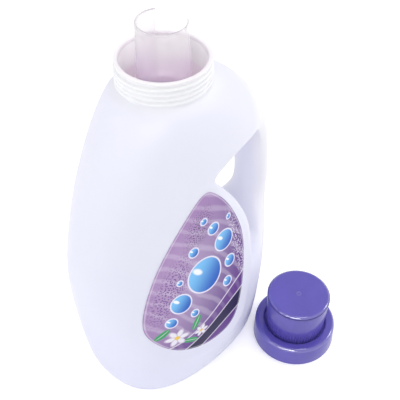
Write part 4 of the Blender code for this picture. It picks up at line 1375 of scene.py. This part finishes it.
WHITE = (1.0, 1.0, 1.0, 1.0)
FLOOR_COLOUR = (0.92, 0.92, 0.93, 1.0)
FLOOR_GLOW = 0.28                  # what the floor shows beyond the light that falls on it
FLOOR_HALF = 4.0
FLOOR_DROP = 0.05 * MM
WORLD_STRENGTH = 0.80
LAMP_TARGET = (0, 0, 0.12)
# Name, place, size, power in watts, and whether only gloss shows it
LAMPS = (
    ("key", (-0.8, -0.62, 0.95), (0.35, 0.15), 2.2, False),
    ("glint", (-1.0, -0.58, 0.8), (1.0, 0.2), 11.0, True),
    ("top", (0.25, -0.15, 1.35), (0.6, 0.25), 3.0, False),
    ("side", (-1.2, 0.5, 0.7), (0.8, 0.8), 3.0, False),
    ("handle_side", (1.1, -0.75, 0.75), (0.3, 0.6), 3.0, False),
)


def floor_material():
    """Matt table top that the camera, gloss and glass see as white, and that keeps the object's shadow."""
    material, shader, surface, _ = new_material("Pale table")
    glow = shader.times(shown_rays(shader), FLOOR_GLOW)
    shader.feed(
        surface, Base_Color=FLOOR_COLOUR, Roughness=0.9, Specular_IOR_Level=0.1, Emission_Color=WHITE,
        Emission_Strength=glow)
    return material


def make_floor():
    """Wide pale table top under the bottle and the cap."""
    bm = bmesh.new()
    bmesh.ops.create_grid(bm, x_segments=8, y_segments=8, size=FLOOR_HALF)
    mesh = bpy.data.meshes.new("floor")
    bm.to_mesh(mesh)
    bm.free()
    floor = add_object("floor", mesh)
    floor.location.z = -FLOOR_DROP
    floor.data.materials.append(floor_material())


def make_lamp(name, place, size, power, only_gloss):
    data = bpy.data.lights.new(name, "AREA")
    data.shape = "RECTANGLE"
    data.size, data.size_y = size
    data.energy = power
    lamp = add_object(name, data)
    lamp.visible_diffuse = not only_gloss
    lamp.location = place
    lamp.rotation_euler = (Vector(LAMP_TARGET) - Vector(place)).to_track_quat("-Z", "Y").to_euler()


def make_world():
    """Even white surroundings at a plain level."""
    world = bpy.data.worlds.new("Studio")
    world.use_nodes = True
    bpy.context.scene.world = world
    shader = Shader(world.node_tree)
    ground = world.node_tree.nodes["Background"].inputs
    strength = shader.math("MULTIPLY_ADD", shown_rays(shader), 1 - WORLD_STRENGTH, WORLD_STRENGTH)
    shader.feed(ground, Color=WHITE, Strength=strength)


def make_camera():
    """The photograph's viewpoint: high on the left of the front, looking down at the bottle."""
    data = bpy.data.cameras.new("photo_camera")
    data.sensor_width = SENSOR
    data.lens = CAMERA_PIXELS / IMAGE_SIZE * SENSOR
    data.clip_start = 0.01
    camera = add_object("photo_camera", data)
    camera.location = NECK_AXIS + CAMERA_EYE
    camera.rotation_euler = CAMERA_FORWARD.to_track_quat("-Z", "Y").to_euler()
    bpy.context.scene.camera = camera


class BOTTLE_OT_stage(Operator):
    """Make the camera, the table, the surroundings and the lamps"""

    bl_idname = "bottle.stage"
    bl_label = "Stage"

    def execute(self, context):
        context.scene.view_settings.view_transform = "Standard"
        make_camera()
        make_world()
        make_floor()
        for lamp in LAMPS:
            make_lamp(*lamp)
        return {"FINISHED"}


class BOTTLE_OT_groups(Operator):
    """Build the shared shader groups"""

    bl_idname = "bottle.groups"
    bl_label = "Shader groups"

    def execute(self, context):
        for name, maker in GROUP_MAKERS.items():
            groups[name] = maker()
        return {"FINISHED"}


class BOTTLE_OT_shell(Operator):
    """Make the blown shell with its panel, gap and screw thread"""

    bl_idname = "bottle.shell"
    bl_label = "Shell"

    def execute(self, context):
        make_shell(shell_material())
        return {"FINISHED"}


class BOTTLE_OT_spout(Operator):
    """Make the drain-back pouring spout"""

    bl_idname = "bottle.spout"
    bl_label = "Spout"

    def execute(self, context):
        make_spout(spout_material())
        return {"FINISHED"}


class BOTTLE_OT_cap(Operator):
    """Make the dosing cap"""

    bl_idname = "bottle.cap"
    bl_label = "Cap"

    def execute(self, context):
        make_cap(cap_material())
        return {"FINISHED"}


class BOTTLE_OT_label(Operator):
    """Lay the printed label on the shell's front"""

    bl_idname = "bottle.label"
    bl_label = "Label"

    def execute(self, context):
        make_label(bpy.data.objects["bottle_shell"], label_material())
        return {"FINISHED"}


class BOTTLE_OT_liquid(Operator):
    """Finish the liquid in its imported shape"""

    bl_idname = "bottle.liquid"
    bl_label = "Liquid"

    def execute(self, context):
        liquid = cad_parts["detergent"]
        liquid.data.materials.clear()
        liquid.data.materials.append(liquid_material())
        return {"FINISHED"}


class BOTTLE_PT_panel(Panel):
    """Sizes, colours and the steps that make the bottle"""

    bl_idname = "BOTTLE_PT_panel"
    bl_label = "Detergent bottle"
    bl_space_type = "VIEW_3D"
    bl_region_type = "UI"
    bl_category = "Bottle"

    def draw(self, context):
        layout = self.layout
        for settings in (context.scene.bottle_sizes, context.scene.bottle_colours):
            column = layout.column(align=True)
            for name in settings.__annotations__:
                column.prop(settings, name)
        for operator in OPERATORS:
            layout.operator(operator.bl_idname)


OPERATORS = (
    BOTTLE_OT_groups,
    BOTTLE_OT_stage,
    BOTTLE_OT_shell,
    BOTTLE_OT_spout,
    BOTTLE_OT_cap,
    BOTTLE_OT_label,
    BOTTLE_OT_liquid,
)
CLASSES = (BottleSizes, BottleColours, *OPERATORS, BOTTLE_PT_panel)


def register():
    for item in CLASSES:
        bpy.utils.register_class(item)
    bpy.types.Scene.bottle_sizes = PointerProperty(type=BottleSizes)
    bpy.types.Scene.bottle_colours = PointerProperty(type=BottleColours)


def unregister():
    del bpy.types.Scene.bottle_colours
    del bpy.types.Scene.bottle_sizes
    for item in reversed(CLASSES):
        bpy.utils.unregister_class(item)


def main():
    register()
    bpy.ops.bottle.groups()
    bpy.ops.bottle.stage()
    bpy.ops.bottle.shell()
    bpy.ops.bottle.spout()
    bpy.ops.bottle.cap()
    bpy.ops.bottle.label()
    bpy.ops.bottle.liquid()
    bpy.context.view_layer.update()


if __name__ == "__main__":
    main()
